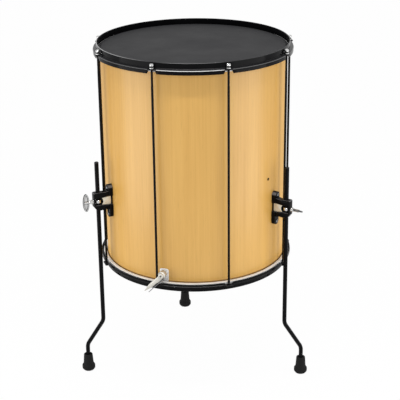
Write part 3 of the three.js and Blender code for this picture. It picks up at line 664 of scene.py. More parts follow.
def rod_azimuths():
    """The rods' turns round the axis, from the frame's own rods."""
    turns = []
    for i in range(ROD_COUNT):
        low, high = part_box(f"tension_rod_{i + 1}")
        middle = (low + high) / 2 - AXIS
        turns.append(math.atan2(middle.x, -middle.y))
    return turns


def rod_circle():
    low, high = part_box("tension_rod_1")
    return ((low + high) / 2 - AXIS).xy.length


def build_shell(sizes):
    inner, crest = SHELL_RADIUS - sizes.wall, SHELL_RADIUS - sizes.edge
    slope = crest - inner
    soft = 0.8 * MM
    bm = lathe([
        (inner, SHELL_BOTTOM + slope, soft), (crest, SHELL_BOTTOM, soft),
        (SHELL_RADIUS, SHELL_BOTTOM + sizes.edge, soft),
        (SHELL_RADIUS, SHELL_TOP - sizes.edge, soft),
        (crest, SHELL_TOP, soft), (inner, SHELL_TOP - slope, soft),
    ], 4, sizes.ring_steps, closed=True)
    add_piece(stand(bm, 0), "shell", "wood")


def build_vent(sizes, hardware):
    """An eyelet with a flange on both sides of the wall."""
    face, inside = SHELL_RADIUS + sizes.fit, SHELL_RADIUS - sizes.wall - 1 * MM
    flange, bore, lip, soft = hardware.vent / 2, hardware.vent / 5, 1 * MM, 0.6 * MM
    neck = flange * 0.66
    bm = lathe([
        (bore, face + lip, soft), (flange, face + lip, soft), (flange, face, 0), (neck, face, 0),
        (neck, inside, 0), (flange, inside, 0), (flange, inside - lip, 0), (bore, inside - lip, 0),
    ], 4, 32, closed=True)
    stand(moved(bm, OUTWARD), hardware.vent_turn, SHELL_BOTTOM + hardware.vent_rise)
    add_piece(bm, "vent_eyelet", "paint")


def build_head(sizes, node, is_top):
    """A film over the bearing edge that turns down into the flesh hoop's slot."""
    channel_height = sizes.upper_channel if is_top else sizes.lower_channel
    gap, film = sizes.fit, sizes.film
    top = -sizes.flange - gap
    crest = SHELL_RADIUS - sizes.edge
    flat = crest * 0.6
    slot = drum_radii(sizes).slot_inner + gap
    floor = top - channel_height + 1.9 * MM
    shoulder = SHELL_RADIUS + gap
    bm = lathe([
        (0, gap, 0), (flat, gap, 0), (crest, gap, 2 * MM), (shoulder, gap - sizes.edge, 1 * MM),
        (slot, top, 0.5 * MM), (slot, floor, 0), (slot + film, floor, 0),
        (slot + film, top + film, 1 * MM), (shoulder + film, gap + film - sizes.edge, 1.6 * MM),
        (crest + film / 2, gap + film, 2.6 * MM), (flat, gap + film, 0), (0, gap + film, 0),
    ], 4, sizes.ring_steps)
    at_head_end(bm, is_top)
    add_piece(bm, node, "film")


def build_flesh_hoop(sizes, node, is_top):
    """An aluminium channel whose top, where it shows in the shaded gap between the film and the
    rim, is painted black as painted shade.
    """
    radii = drum_radii(sizes)
    height = sizes.upper_channel if is_top else sizes.lower_channel + 1.2 * MM
    top = -sizes.flange - sizes.fit
    inner_top, low, floor = top - sizes.fit, top - height, top - height + 1.6 * MM
    soft, sharp = 0.5 * MM, 0.3 * MM
    bm = lathe([
        (radii.channel, low, soft), (radii.channel_outer, low, 1.2 * MM),
        (radii.channel_outer, top, soft), (radii.slot_outer, top, sharp),
        (radii.slot_outer, floor, 0), (radii.slot_inner, floor, 0),
        (radii.slot_inner, inner_top, sharp), (radii.channel, inner_top, sharp),
    ], 3, sizes.ring_steps, closed=True)
    # Painted shade: the channel's top, seen in the shaded gap under the rim, takes the black paint
    for face in bm.faces:
        spot = face.calc_center_median()
        on_top = spot.z > top - 0.8 * MM
        face.material_index = int(on_top and spot.xy.length < radii.channel_outer - 0.4 * MM)
    at_head_end(bm, is_top)
    add_piece(bm, node, "aluminium", second="paint")


# Rims


def notched_stations(sizes, lip_radius):
    """Turns round the rim with stations on the corners of each notch, and each one's drop share."""
    top = sizes.notch_width / 2 / lip_radius
    foot = top + sizes.notch_spread / 2 / lip_radius
    turns = sorted(rod_azimuths())
    per_sector = sizes.ring_steps // ROD_COUNT
    near = [(0.0, 0.0), (top * 0.5, 0.0), (top * 0.94, 0.0), (top, 0.06), (foot, 1.0)]
    middle = per_sector - 2 * len(near) + 1
    stations = []
    for i, here in enumerate(turns):
        there = turns[(i + 1) % len(turns)] + (math.tau if i + 1 == len(turns) else 0)
        stations += [(here + a, drop) for a, drop in near]
        reach = there - here - 2 * foot
        stations += [(here + foot + reach * (k + 1) / (middle + 1), 1.0) for k in range(middle)]
        stations += [(there - a, drop) for a, drop in reversed(near[1:])]
    return stations


def build_counterhoop(sizes, node, is_top):
    radii = drum_radii(sizes)
    lip, wall = radii.lip, radii.hoop_wall
    lip_inner, under = lip - sizes.lip_wall, -sizes.flange
    rise = sizes.upper_rise if is_top else sizes.lower_rise
    foot = -sizes.upper_drop if is_top else -sizes.lower_drop
    under_bead, over_bead = lip - 0.6 * MM, lip - 1 * MM
    outline = outline_with_rounds([
        (radii.hoop_inner, under, 0.4 * MM), (lip_inner, under, 0.5 * MM),
        (lip_inner, foot, 0.6 * MM), (under_bead, foot, 0.6 * MM),
        (under_bead, -4.6 * MM, 0.4 * MM), (lip, -4.15 * MM, 0.3 * MM), (lip, -3.3 * MM, 0.4 * MM),
        (over_bead, -2.2 * MM, 0.5 * MM), (over_bead, 0, 1 * MM), (wall, 0, 1.2 * MM),
        (wall, rise, 1.15 * MM), (radii.hoop_inner, rise, 1.15 * MM),
    ], 5)
    stations = notched_stations(sizes, lip)
    bm = revolved(outline, len(stations))
    for vert in bm.verts:
        spot = vert.co
        index = round(math.atan2(spot.y, spot.x) / math.tau * len(stations)) % len(stations)
        angle, drop = stations[index]
        height = spot.z
        if height < under - 1e-6:
            height = under + (height - under) * max(drop, 0.02)
        radius = spot.xy.length
        vert.co = (radius * math.sin(angle), -radius * math.cos(angle), height)
    reach, start = rod_circle() + 7.5 * MM, radii.channel_outer + sizes.fit
    half = sizes.lug_width / 2
    for azimuth in rod_azimuths():
        lug = slab(outline_with_rounds([
            (-half, -start, 0), (-half, -reach, 5 * MM), (half, -reach, 5 * MM), (half, -start, 0),
        ], 6), -sizes.lug_thickness, 0, 0.7 * MM)
        joined(bm, moved(lug, Matrix.Rotation(azimuth, 4, "Z")))
    at_head_end(bm, is_top)
    add_piece(bm, node, "rim")


# Tension hardware


def at_rod(bm, azimuth):
    return stand(moved(bm, Matrix.Translation((0, -rod_circle(), 0))), azimuth)


def build_tension_rod(sizes, hardware, index, azimuth):
    radius, head = hardware.rod / 2, hardware.rod_head / 2
    under = SHELL_BOTTOM - sizes.fit
    top = SHELL_TOP + sizes.fit + 9 * MM
    thread_start = SHELL_TOP - 46 * MM
    pitch = 1.4 * MM
    outline = [(0, under - 1 * MM), (radius, under - 1 * MM), (radius, thread_start)]
    height = thread_start
    while height + pitch < top:
        outline += [(radius * 0.86, height + pitch / 2), (radius * 0.99, height + pitch)]
        height += pitch
    bm = revolved(outline + [(radius * 0.8, top), (0, top)], 16, closed=False)
    joined(bm, slab(hexagon(head), under - hardware.rod_head_height, under, 0.7 * MM))
    at_rod(bm, azimuth)
    add_piece(bm, f"tension_rod_{index}", "paint")


def build_tension_nut(sizes, hardware, index, azimuth):
    """A domed cap on a narrow waist with a painted collar, over a hexagon on a broad washer."""
    seat = SHELL_TOP + sizes.fit
    flange, top = hardware.nut_flange / 2 / MM, hardware.nut_height / MM
    bm = slab(hexagon(5.7 * MM), seat + 1 * MM, seat + 2.9 * MM, 0.5 * MM)
    joined(bm, lathe(in_mm([
        (0, 0, 0), (flange, 0, 0.4), (flange, 2, 0.8), (3.4, 2.4, 0), (2.9, 4.4, 0),
        (2.9, 6.2, 0.5), (5.9, 6.7, 0.5), (5.9, 9.4, 2), (4.4, top, 2.2), (0, top, 0),
    ], seat), 6, 32))
    collar = in_mm([(3, 2.2, 0), (3.9, 2.2, 0), (3.9, 6.4, 0), (3, 6.4, 0)], seat)
    joined(bm, in_second_finish(lathe(collar, 0, 24, closed=True)))
    at_rod(bm, azimuth)
    add_piece(bm, f"tension_nut_{index}", "chrome", f"nut_{index}", second="paint")


# Leg clamps


def clamp_radii(drum, legs):
    """How far a clamp's faces stand from the drum's axis."""
    leg_circle = SHELL_RADIUS + legs.standoff
    inner = leg_circle + legs.eye / 2 + 0.5 * MM
    return SimpleNamespace(
        shell=SHELL_RADIUS + drum.fit,
        plate=SHELL_RADIUS + drum.fit + legs.plate,
        leg=leg_circle,
        window=leg_circle - legs.eye / 2 - 1.5 * MM,
        inner=inner,
        face=inner + 4.5 * MM,
    )


def lobe_crown(legs, side):
    """The upper lobe stands fuller than the lower one."""
    return legs.lobe_crown * (1 if side > 0 else 0.5)


def leg_cutter(drum, legs):
    reach, radius = 31 * MM, legs.rod / 2 + drum.fit
    bm = revolved([(0, -reach), (radius, -reach), (radius, reach), (0, reach)], 32, closed=False)
    return moved(bm, Matrix.Translation((0, -SHELL_RADIUS - legs.standoff, 0)))


def build_bracket(drum, legs, name, azimuth, height):
    """Two rounded lobes on the shell, with arms that carry the housing round the leg."""
    at = clamp_radii(drum, legs)
    half_width, half_height = legs.plate_width / 2, legs.plate_height / 2
    bm = bmesh.new()
    for side in (-1, 1):
        start, end = side * 12.5 * MM, side * half_height - legs.plate_drop
        near, far = -side * half_width, side * half_width
        lobe = slab(outline_with_rounds([
            (near, start, 0), (far, start, 0),
            (far, end, half_width * 0.999), (near, end, half_width * 0.999),
        ], 10), at.shell, at.plate + lobe_crown(legs, side), 4.4 * MM, 6)
        joined(bm, moved(lobe, OUTWARD))
    back, shoulder, leg = at.plate - 4.2 * MM, at.plate + 13 * MM, at.leg - 4 * MM
    ring = outline_with_rounds([(x, z * MM, r * MM) for x, z, r in (
        (back, 27.7, 0), (at.plate, 27.7, 1.5), (shoulder, 25, 6), (leg, 26.5, 2),
        (at.face, 26.5, 3), (at.face, -14.5, 3), (at.face - 9 * MM, -26.5, 3), (leg, -26.5, 2),
        (shoulder, -25, 6), (at.plate, -27.7, 1.5), (back, -27.7, 0), (back, -12.5, 0),
        (at.plate, -12.5, 1), (at.window, -10, 2), (at.inner, -10, 1), (at.inner, 10, 1),
        (at.window, 10, 2), (at.plate, 12.5, 1), (back, 12.5, 0),
    )], 4)
    arms = slab(ring, -legs.arm_width / 2, legs.arm_width / 2, 1.6 * MM, 4)
    arms = bored(moved(arms, ACROSS), leg_cutter(drum, legs))
    stand(joined(bm, arms), azimuth, height)
    add_piece(bm, f"clamp_bracket_{name}", "cast")


def build_saddle(drum, legs, name, azimuth, height):
    """The wedge that the eye bolt draws against the leg: a dark pad, a pale wedge, a dark jaw."""
    at = clamp_radii(drum, legs)
    gap = drum.fit
    half_pad, half_jaw, slot = 11.9 * MM, 9.7 * MM, 4.5 * MM + gap
    end = at.leg - legs.rod / 2 - gap + 2 * MM
    arc_radius = 12.5 * MM
    arc = [
        (at.leg - arc_radius * math.cos(a), arc_radius * math.sin(a), 0)
        for a in (0.8, 0.6, 0.4, 0.2, 0.0)
    ]
    foot = at.shell + 5 * MM
    pad = [(at.shell, half_pad, 0.6 * MM), (foot, half_pad, 0)]
    wedge = [
        (foot, half_pad, 0), (at.plate, half_pad, 1 * MM), (at.window - 1 * MM, half_jaw, 0), *arc,
    ]
    jaw = [
        (at.leg - legs.eye / 2 - gap, slot, 0), (end, slot, 0.5 * MM),
        (end, half_jaw, 0.8 * MM), (at.leg - 8 * MM, half_jaw, 0), *arc,
    ]
    parts = (("pad", pad, "paint"), ("wedge", wedge, "zinc"), ("jaw", jaw, "paint"))
    for part, half, finish in parts:
        ring = half + [(x, -z, r) for x, z, r in reversed(half) if z]
        bm = slab(outline_with_rounds(ring, 3), -7.5 * MM, 7.5 * MM, 0.5 * MM)
        bm = stand(bored(moved(bm, ACROSS), leg_cutter(drum, legs)), azimuth, height)
        add_piece(bm, f"clamp_saddle_{name}", finish, name=f"clamp_{part}_{name}")


def build_eye_bolt(drum, legs, name, azimuth, height):
    at = clamp_radii(drum, legs)
    half, radius, soft, stem = 4.5 * MM, legs.eye / 2, 1.6 * MM, 3 * MM
    bm = lathe([(0, -half, 0), (radius, -half, soft), (radius, half, soft), (0, half, 0)], 4, 48)
    bm = bored(moved(bm, Matrix.Translation((0, -at.leg, 0))), leg_cutter(drum, legs))
    start, end = at.leg + legs.rod / 2 + 1 * MM, at.face + 23 * MM
    outline = [(0, start), (stem, start), (stem, end - 0.6 * MM), (stem - 0.6 * MM, end), (0, end)]
    stand(joined(bm, moved(revolved(outline, 24, closed=False), OUTWARD)), azimuth, height)
    add_piece(bm, f"clamp_eye_bolt_{name}", "chrome")


def build_clamp_washer(drum, legs, name, azimuth, height):
    corners = in_mm([(3.5, 0, 0), (6.5, 0, 0.3), (6.5, 1.5, 0.5), (3.5, 1.5, 0)],
                    clamp_radii(drum, legs).face + drum.fit)
    bm = stand(moved(lathe(corners, 2, 32, closed=True), OUTWARD), azimuth, height)
    add_piece(bm, f"clamp_washer_{name}", "chrome")


def build_wing(legs, end):
    """A flat oval with a sunk middle on both sides, its border and side walls painted dark as a
    painted reflection.
    """
    thickness, border, ring, wall, sunk = 4.4 * MM, 0.9 * MM, 2 * MM, 1.5 * MM, -1.4 * MM
    bm = bmesh.new()
    half_depth, half_span, facets = legs.wing_depth / 2, legs.wing_span / 2, 40
    middle = end - 0.1 * MM - half_depth
    oval = bm.faces.new([
        bm.verts.new((middle + half_depth * math.cos(a), half_span * math.sin(a), -thickness / 2))
        for a in (math.tau * k / facets for k in range(facets))
    ])
    pushed_out(bm, oval, thickness)
    for flat in [f for f in bm.faces if len(f.verts) > 4]:
        edging = bmesh.ops.inset_individual(bm, faces=[flat], thickness=border, depth=0)
        # The border and, below, the side walls take the painted dark reflection
        for face in edging["faces"]:
            face.material_index = 1
        bmesh.ops.inset_individual(bm, faces=[flat], thickness=ring, depth=0)
        bmesh.ops.inset_individual(bm, faces=[flat], thickness=wall, depth=sunk)
    soften(bm, 0.7 * MM, 2, 60)
    for face in bm.faces:
        if abs(face.normal.z) < 0.9:
            face.material_index = 1
    return moved(bm, ACROSS)


def build_wing_nut(drum, legs, name, azimuth, height, wing_turn):
    """A tapered hub that runs out into a wing."""
    start = clamp_radii(drum, legs).face + 2 * drum.fit + 1.5 * MM
    length_mm = 28
    bm = moved(lathe(in_mm([
        (0, 0, 0), (6.5, 0, 0.8), (6.3, 4, 1), (3.9, 9, 3),
        (4.3, length_mm - 5, 1.6), (0, length_mm - 3, 0),
    ], start), 5, 32), OUTWARD)
    joined(bm, build_wing(legs, start + length_mm * MM))
    moved(bm, Matrix.Rotation(math.pi / 2 - math.radians(wing_turn), 4, "Y"))
    stand(bm, azimuth, height)
    add_piece(bm, f"clamp_wing_nut_{name}", "chrome", f"wing_nut_{name}", second="tarnish")


def build_bracket_screws(drum, legs, name, azimuth, height):
    """A pan head with a driver's recess outside, and a nut inside the shell."""
    inside = SHELL_RADIUS - drum.wall - 1.2 * MM
    shank = in_mm([(0, -5, 0), (2.5, -5, 0.5)], inside)
    for index, side in enumerate((-1, 1), 1):
        head = in_mm([
            (2.5, 0, 0), (5.25, 0, 0), (5.25, 1, 0.6), (3, 3.2, 1.6),
            (1.9, 3.2, 0), (1.9, 1.4, 0), (0, 1.4, 0),
        ], clamp_radii(drum, legs).plate + lobe_crown(legs, side) + drum.fit)
        bm = lathe(shank + head, 4, 24)
        joined(bm, slab(hexagon(4.6 * MM), inside - 4 * MM, inside, 0.4 * MM))
        rise = side * legs.screw_spacing / 2 - legs.plate_drop
        stand(moved(bm, OUTWARD), azimuth, height + rise)
        add_piece(bm, f"bracket_screw_{name}_{index}", "screw")


# Legs


FOOT_BORE = 12 * MM  # height at which a leg rod ends in its foot


def foot_place(legs, swivel):
    reach = SHELL_RADIUS + legs.standoff + legs.offset * math.cos(swivel)
    return Vector((legs.offset * math.sin(swivel), -reach, 0))


def bent_path(a, b, c, d, radius, steps=10):
    """The axis of a rod from a to d with rounded bends at b and c."""
    points = [a]
    for before, corner, after in ((a, b, c), (b, c, d)):
        into, out = (corner - before).normalized(), (after - corner).normalized()
        angle = into.angle(out)
        start = corner - into * radius * math.tan(angle / 2)
        side = (out - into * into.dot(out)).normalized()
        for k in range(steps + 1):
            bent = angle * k / steps
            points.append(start + radius * (into * math.sin(bent) + side * (1 - math.cos(bent))))
    return points + [d]


def swept(bm, points, radius, facets=24, tip=1.2 * MM):
    """Draws a round rod along points, by extruding its section from one to the next."""
    first = (points[1] - points[0]).normalized()
    last = (points[-1] - points[-2]).normalized()
    spots = [(points[0], radius - tip), (points[0] + first * tip, radius)]
    spots += [(p, radius) for p in points[1:-1]]
    spots += [(points[-1] - last * tip, radius), (points[-1], radius - tip)]
    side = Vector((1, 0, 0))
    ring = bmesh.ops.create_circle(bm, segments=facets, radius=1.0)["verts"]
    edges = list({e for v in ring for e in v.link_edges})
    bm.faces.new(ring)
    before = Matrix.Identity(4)
    for i, (spot, size) in enumerate(spots):
        ahead = spots[min(i + 1, len(spots) - 1)][0] - spots[max(i - 1, 0)][0]
        along = ahead.normalized()
        side = (side - along * side.dot(along)).normalized()
        facing = Matrix((side, along.cross(side), along)).transposed().to_4x4()
        place = Matrix.Translation(spot) @ facing @ Matrix.Diagonal((size, size, 1, 1))
        if i:
            pushed = bmesh.ops.extrude_edge_only(bm, edges=edges)
            ring = [g for g in pushed["geom"] if isinstance(g, bmesh.types.BMVert)]
            edges = [g for g in pushed["geom"] if isinstance(g, bmesh.types.BMEdge)]
        bmesh.ops.transform(bm, matrix=place @ before.inverted(), verts=ring)
        before = place
    bmesh.ops.contextual_create(bm, geom=edges)


def build_leg_rod(legs, name, azimuth, top, swivel):
    foot = foot_place(legs, swivel)
    upright = Vector((0, -SHELL_RADIUS - legs.standoff, 0))
    corners = [
        spot + Vector((0, 0, height)) for spot, height in (
            (upright, top), (upright, legs.upper_bend), (foot, legs.lower_bend), (foot, FOOT_BORE),
        )
    ]
    bm = bmesh.new()
    swept(bm, bent_path(*corners, legs.bend), legs.rod / 2)
    stand(bm, azimuth)
    add_piece(bm, f"leg_rod_{name}", "paint", f"leg_{name}")


def build_foot(drum, legs, name, azimuth, swivel):
    """A rubber foot with a plain cone above and a ribbed, rounded base."""
    base, waist, top = (size / 2 / MM for size in (legs.foot_base, legs.foot_waist, legs.foot_top))
    height, bore = legs.foot / MM, (legs.rod / 2 + drum.fit) / MM
    floor = (FOOT_BORE - drum.fit) / MM
    ribs = 36
    bm = lathe(in_mm([
        (0, 0, 0), (base * 0.8, 0, 0), (base, 5, 3), (base, 14, 3), (waist + 1, 20, 2),
        (top, height, 2.4), (8.5, height, 1), (bore, height - 3, 0), (bore, floor, 0),
        (0, floor, 0),
    ]), 4, ribs * 4)
    for vert in bm.verts:
        radius = vert.co.xy.length
        if radius > (waist + 1.5) * MM and 3 * MM < vert.co.z < 18 * MM:
            wave = math.cos(math.atan2(vert.co.y, vert.co.x) * ribs)
            vert.co.xy *= 1 - (0.5 * MM if wave < 0 else 0) / radius
    stand(moved(bm, Matrix.Translation(foot_place(legs, swivel))), azimuth)
    add_piece(bm, f"leg_foot_{name}", "rubber", f"leg_{name}")


# Muffler


def add_to_muffler(muffler, bm, node, finish, body="muffler", **more):
    stand(moved(bm, OUTWARD), muffler.turned, SHELL_BOTTOM + muffler.rise)
    return add_piece(bm, node, finish, body, **more)


def build_muffler_mount(drum, muffler):
    """A plate, a flanged sleeve through the wall and the sleeve's nut."""
    face = SHELL_RADIUS + drum.fit
    front = face + 1.5 * MM
    half_width, half_height = muffler.plate_width / 2, muffler.plate_height / 2
    corners = ((-1, -1), (1, -1), (1, 1), (-1, 1))
    plate = [(x * half_width, z * half_height - 6.8 * MM, 5 * MM) for x, z in corners]
    bm = slab(outline_with_rounds(plate, 6), face, front, 0.5 * MM)
    add_to_muffler(muffler, bm, "muffler_plate", "nickel", "drum")

    inside = SHELL_RADIUS - drum.wall - 0.9 * MM
    bm = lathe(
        in_mm([(3.3, -9, 0), (6, -9, 0.5)], inside)
        + in_mm([(6, 0, 0), (9, 0, 0), (9, 2, 0.8), (3.3, 2, 0)], front + drum.fit),
        3, 48, closed=True,
    )
    add_to_muffler(muffler, bm, "muffler_sleeve", "chrome", "drum")

    ring = in_mm([(6.3, -4, 0), (9.2, -4, 0), (9.2, 0, 0), (6.3, 0, 0)], inside)
    bm = lathe(ring, 0, 6, closed=True)
    soften(bm, 0.4 * MM, 2, 40)
    moved(bm, Matrix.Rotation(math.pi / 6, 4, "Z"))
    add_to_muffler(muffler, bm, "muffler_sleeve_nut", "steel", "drum")


def hub_start(drum):
    return SHELL_RADIUS + 3 * drum.fit + 3.5 * MM


def build_muffler_lever(drum, muffler):
    """A fluted hub with a flat blade and a thin prong."""
    start = hub_start(drum)
    radius, end = muffler.hub / 2 / MM, muffler.hub_length / MM
    bm = lathe(in_mm([
        (0, 0, 0), (radius - 3, 0, 0.6), (radius, 4, 2), (radius, end - 8, 1.5),
        (radius - 3, end - 5, 1), (radius - 3.6, end, 2), (3, end, 0.5), (2.4, end - 2, 0),
        (0, end - 2, 0),
    ], start), 4, 96)
    flutes, flute_depth = 12, 0.9 * MM
    for vert in bm.verts:
        reach = vert.co.xy.length
        if reach > (radius - 1.2) * MM:
            flute = math.cos(math.atan2(vert.co.y, vert.co.x) * flutes)
            vert.co.xy *= 1 - flute_depth * max(0, flute) / reach
    tip, prong_tip = muffler.blade / MM, muffler.prong / MM
    back = start + 22 * MM
    front = back - 1.8 * MM
    blade = slab(outline_with_rounds(in_mm([
        (0, -4.25, 0), (tip - 24, -4.25, 6), (tip, 0.5, 0.8), (tip, 2.5, 0.8),
        (tip - 24, 7.25, 6), (24, 7.25, 0), (24, 12, 1), (0, 12, 0),
    ]), 3), front, back, 0.4 * MM)
    prong = slab(outline_with_rounds(in_mm([
        (0, 10.2, 0), (prong_tip, 10.2, 0.8), (prong_tip, 12, 0.8), (0, 12, 0),
    ]), 2), front, back + 3.2 * MM, 0.3 * MM)
    swing = Matrix.Rotation(muffler.lever_turn, 4, "Z")
    joined(bm, moved(blade, swing), moved(in_second_finish(prong), swing))
    add_to_muffler(muffler, bm, "muffler_lever", "steel", second="screw")


def build_muffler_paddle(drum, muffler):
    """A shaft from the hub inwards, and a sheet on a tube that carries the felt."""
    inside = SHELL_RADIUS - drum.wall - 0.9 * MM
    start = inside - 16.2 * MM - muffler.paddle
    end = hub_start(drum) + 17.6 * MM
    shaft = [(0, start), (2.4 * MM, start), (3 * MM, start + 0.6 * MM), (3 * MM, end), (0, end)]
    add_to_muffler(muffler, revolved(shaft, 24, closed=False), "muffler_shaft", "steel")

    low = start + 6 * MM
    high = low + muffler.paddle
    bm = revolved([(3.3 * MM, low), (4.6 * MM, low), (4.6 * MM, high), (3.3 * MM, high)], 32)
    sheet = [(x * MM, y * MM) for x, y in ((-29, -0.75), (-3.6, -0.75), (-3.6, 0.75), (-29, 0.75))]
    joined(bm, slab(sheet, low, high, 0.3 * MM))
    add_to_muffler(muffler, bm, "muffler_paddle", "steel")

    half = [(-34.7, -4.5, 3), (-21.7, -4.5, 2), (-21.7, -1.1, 0.5), (-29.4, -1.1, 0.5)]
    pad = half + [(x, -y, rounding) for x, y, rounding in reversed(half)]
    bm = slab(outline_with_rounds(in_mm(pad), 5), low + 2 * MM, high - 2 * MM, 0.5 * MM, 3)
    felt = add_to_muffler(muffler, bm, "muffler_felt", "felt")


# Stage


def seen_directly(tree):
    """1 for rays of the camera, mirrors and glass, and 0 for the light that falls on things."""
    path = add_node(tree, "LightPath")
    seen = path.outputs["Is Camera Ray"]
    for ray in ("Is Glossy Ray", "Is Transmission Ray"):
        both = add_node(tree, "Math", {0: seen, 1: path.outputs[ray]}, operation="MAXIMUM")
        seen = both.outputs[0]
    return seen


def mixed_in(tree, share_of, first, second, end):
    """Ends a node tree in a mix of two shaders."""
    mix = add_node(tree, "MixShader", {0: share_of, 1: first.outputs[0], 2: second.outputs[0]})
    tree.links.new(mix.outputs[0], tree.nodes[end].inputs["Surface"])


def build_floor():
    """A floor that is seen as white, with its shadow kept faint."""
    floor_grey, shadow_kept = 0.9, 0.025
    finish = Finish("floor_white", None, grey(floor_grey), 0.9, specular=0.0)
    tree = finish.tree
    shares = {0: seen_directly(tree), 1: 1 - shadow_kept}
    shown = add_node(tree, "Math", shares, operation="MULTIPLY")
    glow = add_node(tree, "Emission")
    mixed_in(tree, shown.outputs[0], finish.shader, glow, "Material Output")
    bm = bmesh.new()
    bmesh.ops.create_circle(bm, cap_ends=True, segments=96, radius=9.0)
    mesh = bpy.data.meshes.new("floor")
    bm.to_mesh(mesh)
    bm.free()
    floor = bpy.data.objects.new("floor", mesh)
    bpy.context.scene.collection.objects.link(floor)
    mesh.materials.append(finish.material)


def build_world(sky):
    """Light from all round, behind which the camera sees plain white."""
    world = bpy.data.worlds.new("studio")
    bpy.context.scene.world = world
    world.use_nodes = True
    tree = world.node_tree
    light = tree.nodes["Background"]
    light.inputs["Color"].default_value = (*WHITE, 1)
    light.inputs["Strength"].default_value = sky
    white = add_node(tree, "Background", {"Color": (*WHITE, 1)})
    mixed_in(tree, seen_directly(tree), light, white, "World Output")


def add_lamp(name, power, size, place, aim):
    lamp = bpy.data.lights.new(name, "AREA")
    lamp.energy = power
    lamp.shape = "RECTANGLE"
    lamp.size, lamp.size_y = size
    holder = bpy.data.objects.new(name, lamp)
    holder.location = place
    holder.rotation_euler = (Vector(aim) - Vector(place)).to_track_quat("-Z", "Y").to_euler()
    holder.visible_camera = False
    bpy.context.scene.collection.objects.link(holder)


def add_camera():
    """The photograph's own view: a long lens a little over three metres away, looking down."""
    sideways, away, up, aim_up = 0.01384, 3.0761, 1.3213, 0.12447
    turned, rolled = math.radians(1.7), -0.011
    camera = bpy.data.objects.new("camera", bpy.data.cameras.new("camera"))
    camera.data.lens = 103.69
    camera.data.sensor_width = 36
    base = AXIS + Vector((0, 0, SHELL_BOTTOM + 25.6 * MM))
    orbit = Matrix.Rotation(turned, 4, "Z")
    place = base + orbit @ Vector((sideways, -away, up))
    aim = base + orbit @ Vector((sideways, 0, aim_up))
    look = (aim - place).to_track_quat("-Z", "Y").to_matrix().to_4x4()
    camera.matrix_world = Matrix.Translation(place) @ look @ Matrix.Rotation(rolled, 4, "Z")
    bpy.context.scene.collection.objects.link(camera)
    bpy.context.scene.camera = camera


# Operators


class SurdoStep:
    """What every step has: a place in the undo history."""

    bl_options = {"REGISTER", "UNDO"}


class SURDO_OT_finishes(SurdoStep, bpy.types.Operator):
    """Make the wood, film, paint, metal, rubber and felt"""

    bl_idname = "surdo.finishes"
    bl_label = "Finishes"

    def execute(self, context):
        build_finishes(context.scene.surdo_colours)
        return {"FINISHED"}


class SURDO_OT_shell(SurdoStep, bpy.types.Operator):
    """Turn the wooden shell and its vent"""

    bl_idname = "surdo.shell"
    bl_label = "Shell"

    def execute(self, context):
        build_shell(context.scene.surdo_drum)
        build_vent(context.scene.surdo_drum, context.scene.surdo_hardware)
        return {"FINISHED"}


class SURDO_OT_heads(SurdoStep, bpy.types.Operator):
    """Stretch both heads with their flesh hoops"""

    bl_idname = "surdo.heads"
    bl_label = "Heads"

    def execute(self, context):
        for side, is_top in (("batter", True), ("resonant", False)):
            build_head(context.scene.surdo_drum, f"{side}_head", is_top)
            build_flesh_hoop(context.scene.surdo_drum, f"{side}_flesh_hoop", is_top)
        return {"FINISHED"}


class SURDO_OT_rims(SurdoStep, bpy.types.Operator):
    """Form both rims with their notched lips and lugs"""

    bl_idname = "surdo.rims"
    bl_label = "Rims"

    def execute(self, context):
        build_counterhoop(context.scene.surdo_drum, "batter_counterhoop", True)
        build_counterhoop(context.scene.surdo_drum, "resonant_counterhoop", False)
        return {"FINISHED"}


class SURDO_OT_tension(SurdoStep, bpy.types.Operator):
    """Set the tension rods and their cap nuts"""

    bl_idname = "surdo.tension"
    bl_label = "Tension rods"

    def execute(self, context):
        drum, hardware = context.scene.surdo_drum, context.scene.surdo_hardware
        for index, azimuth in enumerate(rod_azimuths(), 1):
            build_tension_rod(drum, hardware, index, azimuth)
            build_tension_nut(drum, hardware, index, azimuth)
        return {"FINISHED"}


class SURDO_OT_clamps(SurdoStep, bpy.types.Operator):
    """Fit the leg clamps"""

    bl_idname = "surdo.clamps"
    bl_label = "Leg clamps"

    def execute(self, context):
        drum, legs = context.scene.surdo_drum, context.scene.surdo_legs
        for name, place in LEGS.items():
            spot = (drum, legs, name, math.radians(place.azimuth), SHELL_BOTTOM + place.rise * MM)
            build_bracket(*spot)
            build_saddle(*spot)
            build_eye_bolt(*spot)
            build_clamp_washer(*spot)
            build_wing_nut(*spot, place.wing_turn)
            build_bracket_screws(*spot)
        return {"FINISHED"}


class SURDO_OT_legs(SurdoStep, bpy.types.Operator):
    """Bend the leg rods and put their feet on"""

    bl_idname = "surdo.legs"
    bl_label = "Legs"

    def execute(self, context):
        drum, legs = context.scene.surdo_drum, context.scene.surdo_legs
        for name, place in LEGS.items():
            turned, swung = math.radians(place.azimuth), math.radians(place.swivel)
            top = SHELL_BOTTOM + (place.rise + place.top) * MM
            build_leg_rod(legs, name, turned, top, swung)
            build_foot(drum, legs, name, turned, swung)
        return {"FINISHED"}


class SURDO_OT_muffler(SurdoStep, bpy.types.Operator):
    """Fit the muffler's plate, lever, shaft, paddle and felt"""

    bl_idname = "surdo.muffler"
    bl_label = "Muffler"

    def execute(self, context):
        drum, muffler = context.scene.surdo_drum, context.scene.surdo_muffler
        build_muffler_mount(drum, muffler)
        build_muffler_lever(drum, muffler)
        build_muffler_paddle(drum, muffler)
        return {"FINISHED"}


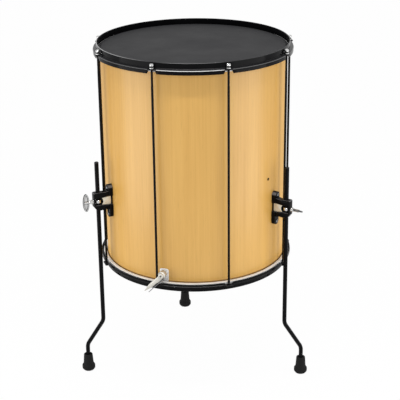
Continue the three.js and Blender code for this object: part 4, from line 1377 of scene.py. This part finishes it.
class SURDO_OT_stage(SurdoStep, bpy.types.Operator):
    """Set the floor, the studio's lamps and the camera"""

    bl_idname = "surdo.stage"
    bl_label = "Stage"

    def execute(self, context):
        studio = context.scene.surdo_studio
        context.scene.view_settings.view_transform = "Standard"
        build_floor()
        build_world(studio.sky)
        for name, side in (("lamp_left", -1), ("lamp_right", 1)):
            add_lamp(
                name, studio.side_lamps,
                size=(1.0, 0.85), place=(side * 1.15, -0.6, 0.46), aim=(0, 0, 0.6),
            )
        add_lamp(
            "lamp_above", studio.top_lamp,
            size=(1.6, 0.06), place=(0, -0.9, 3.0), aim=(0, 0, 0.7),
        )
        add_camera()
        return {"FINISHED"}


STEPS = (
    SURDO_OT_finishes,
    SURDO_OT_shell,
    SURDO_OT_heads,
    SURDO_OT_rims,
    SURDO_OT_tension,
    SURDO_OT_clamps,
    SURDO_OT_legs,
    SURDO_OT_muffler,
    SURDO_OT_stage,
)

GROUPS = {
    "surdo_drum": SurdoDrumSizes,
    "surdo_hardware": SurdoHardwareSizes,
    "surdo_legs": SurdoLegSizes,
    "surdo_muffler": SurdoMufflerSizes,
    "surdo_colours": SurdoColours,
    "surdo_studio": SurdoStudio,
}


class SURDO_PT_panel(bpy.types.Panel):
    """The surdo's sizes, colours and steps"""

    bl_idname = "SURDO_PT_panel"
    bl_label = "Surdo"
    bl_space_type = "VIEW_3D"
    bl_region_type = "UI"
    bl_category = "Surdo"

    def draw(self, context):
        for group, kind in GROUPS.items():
            column = self.layout.column(align=True)
            for name in kind.__annotations__:
                column.prop(getattr(context.scene, group), name)
        for step in STEPS:
            self.layout.operator(step.bl_idname)


def register():
    for kind in (*GROUPS.values(), *STEPS, SURDO_PT_panel):
        bpy.utils.register_class(kind)
    for name, kind in GROUPS.items():
        setattr(bpy.types.Scene, name, PointerProperty(type=kind))


def unregister():
    for name in GROUPS:
        delattr(bpy.types.Scene, name)
    for kind in reversed((*GROUPS.values(), *STEPS, SURDO_PT_panel)):
        bpy.utils.unregister_class(kind)


def main():
    register()
    for step in STEPS:
        family, name = step.bl_idname.split(".")
        getattr(getattr(bpy.ops, family), name)()


if __name__ == "__main__":
    main()
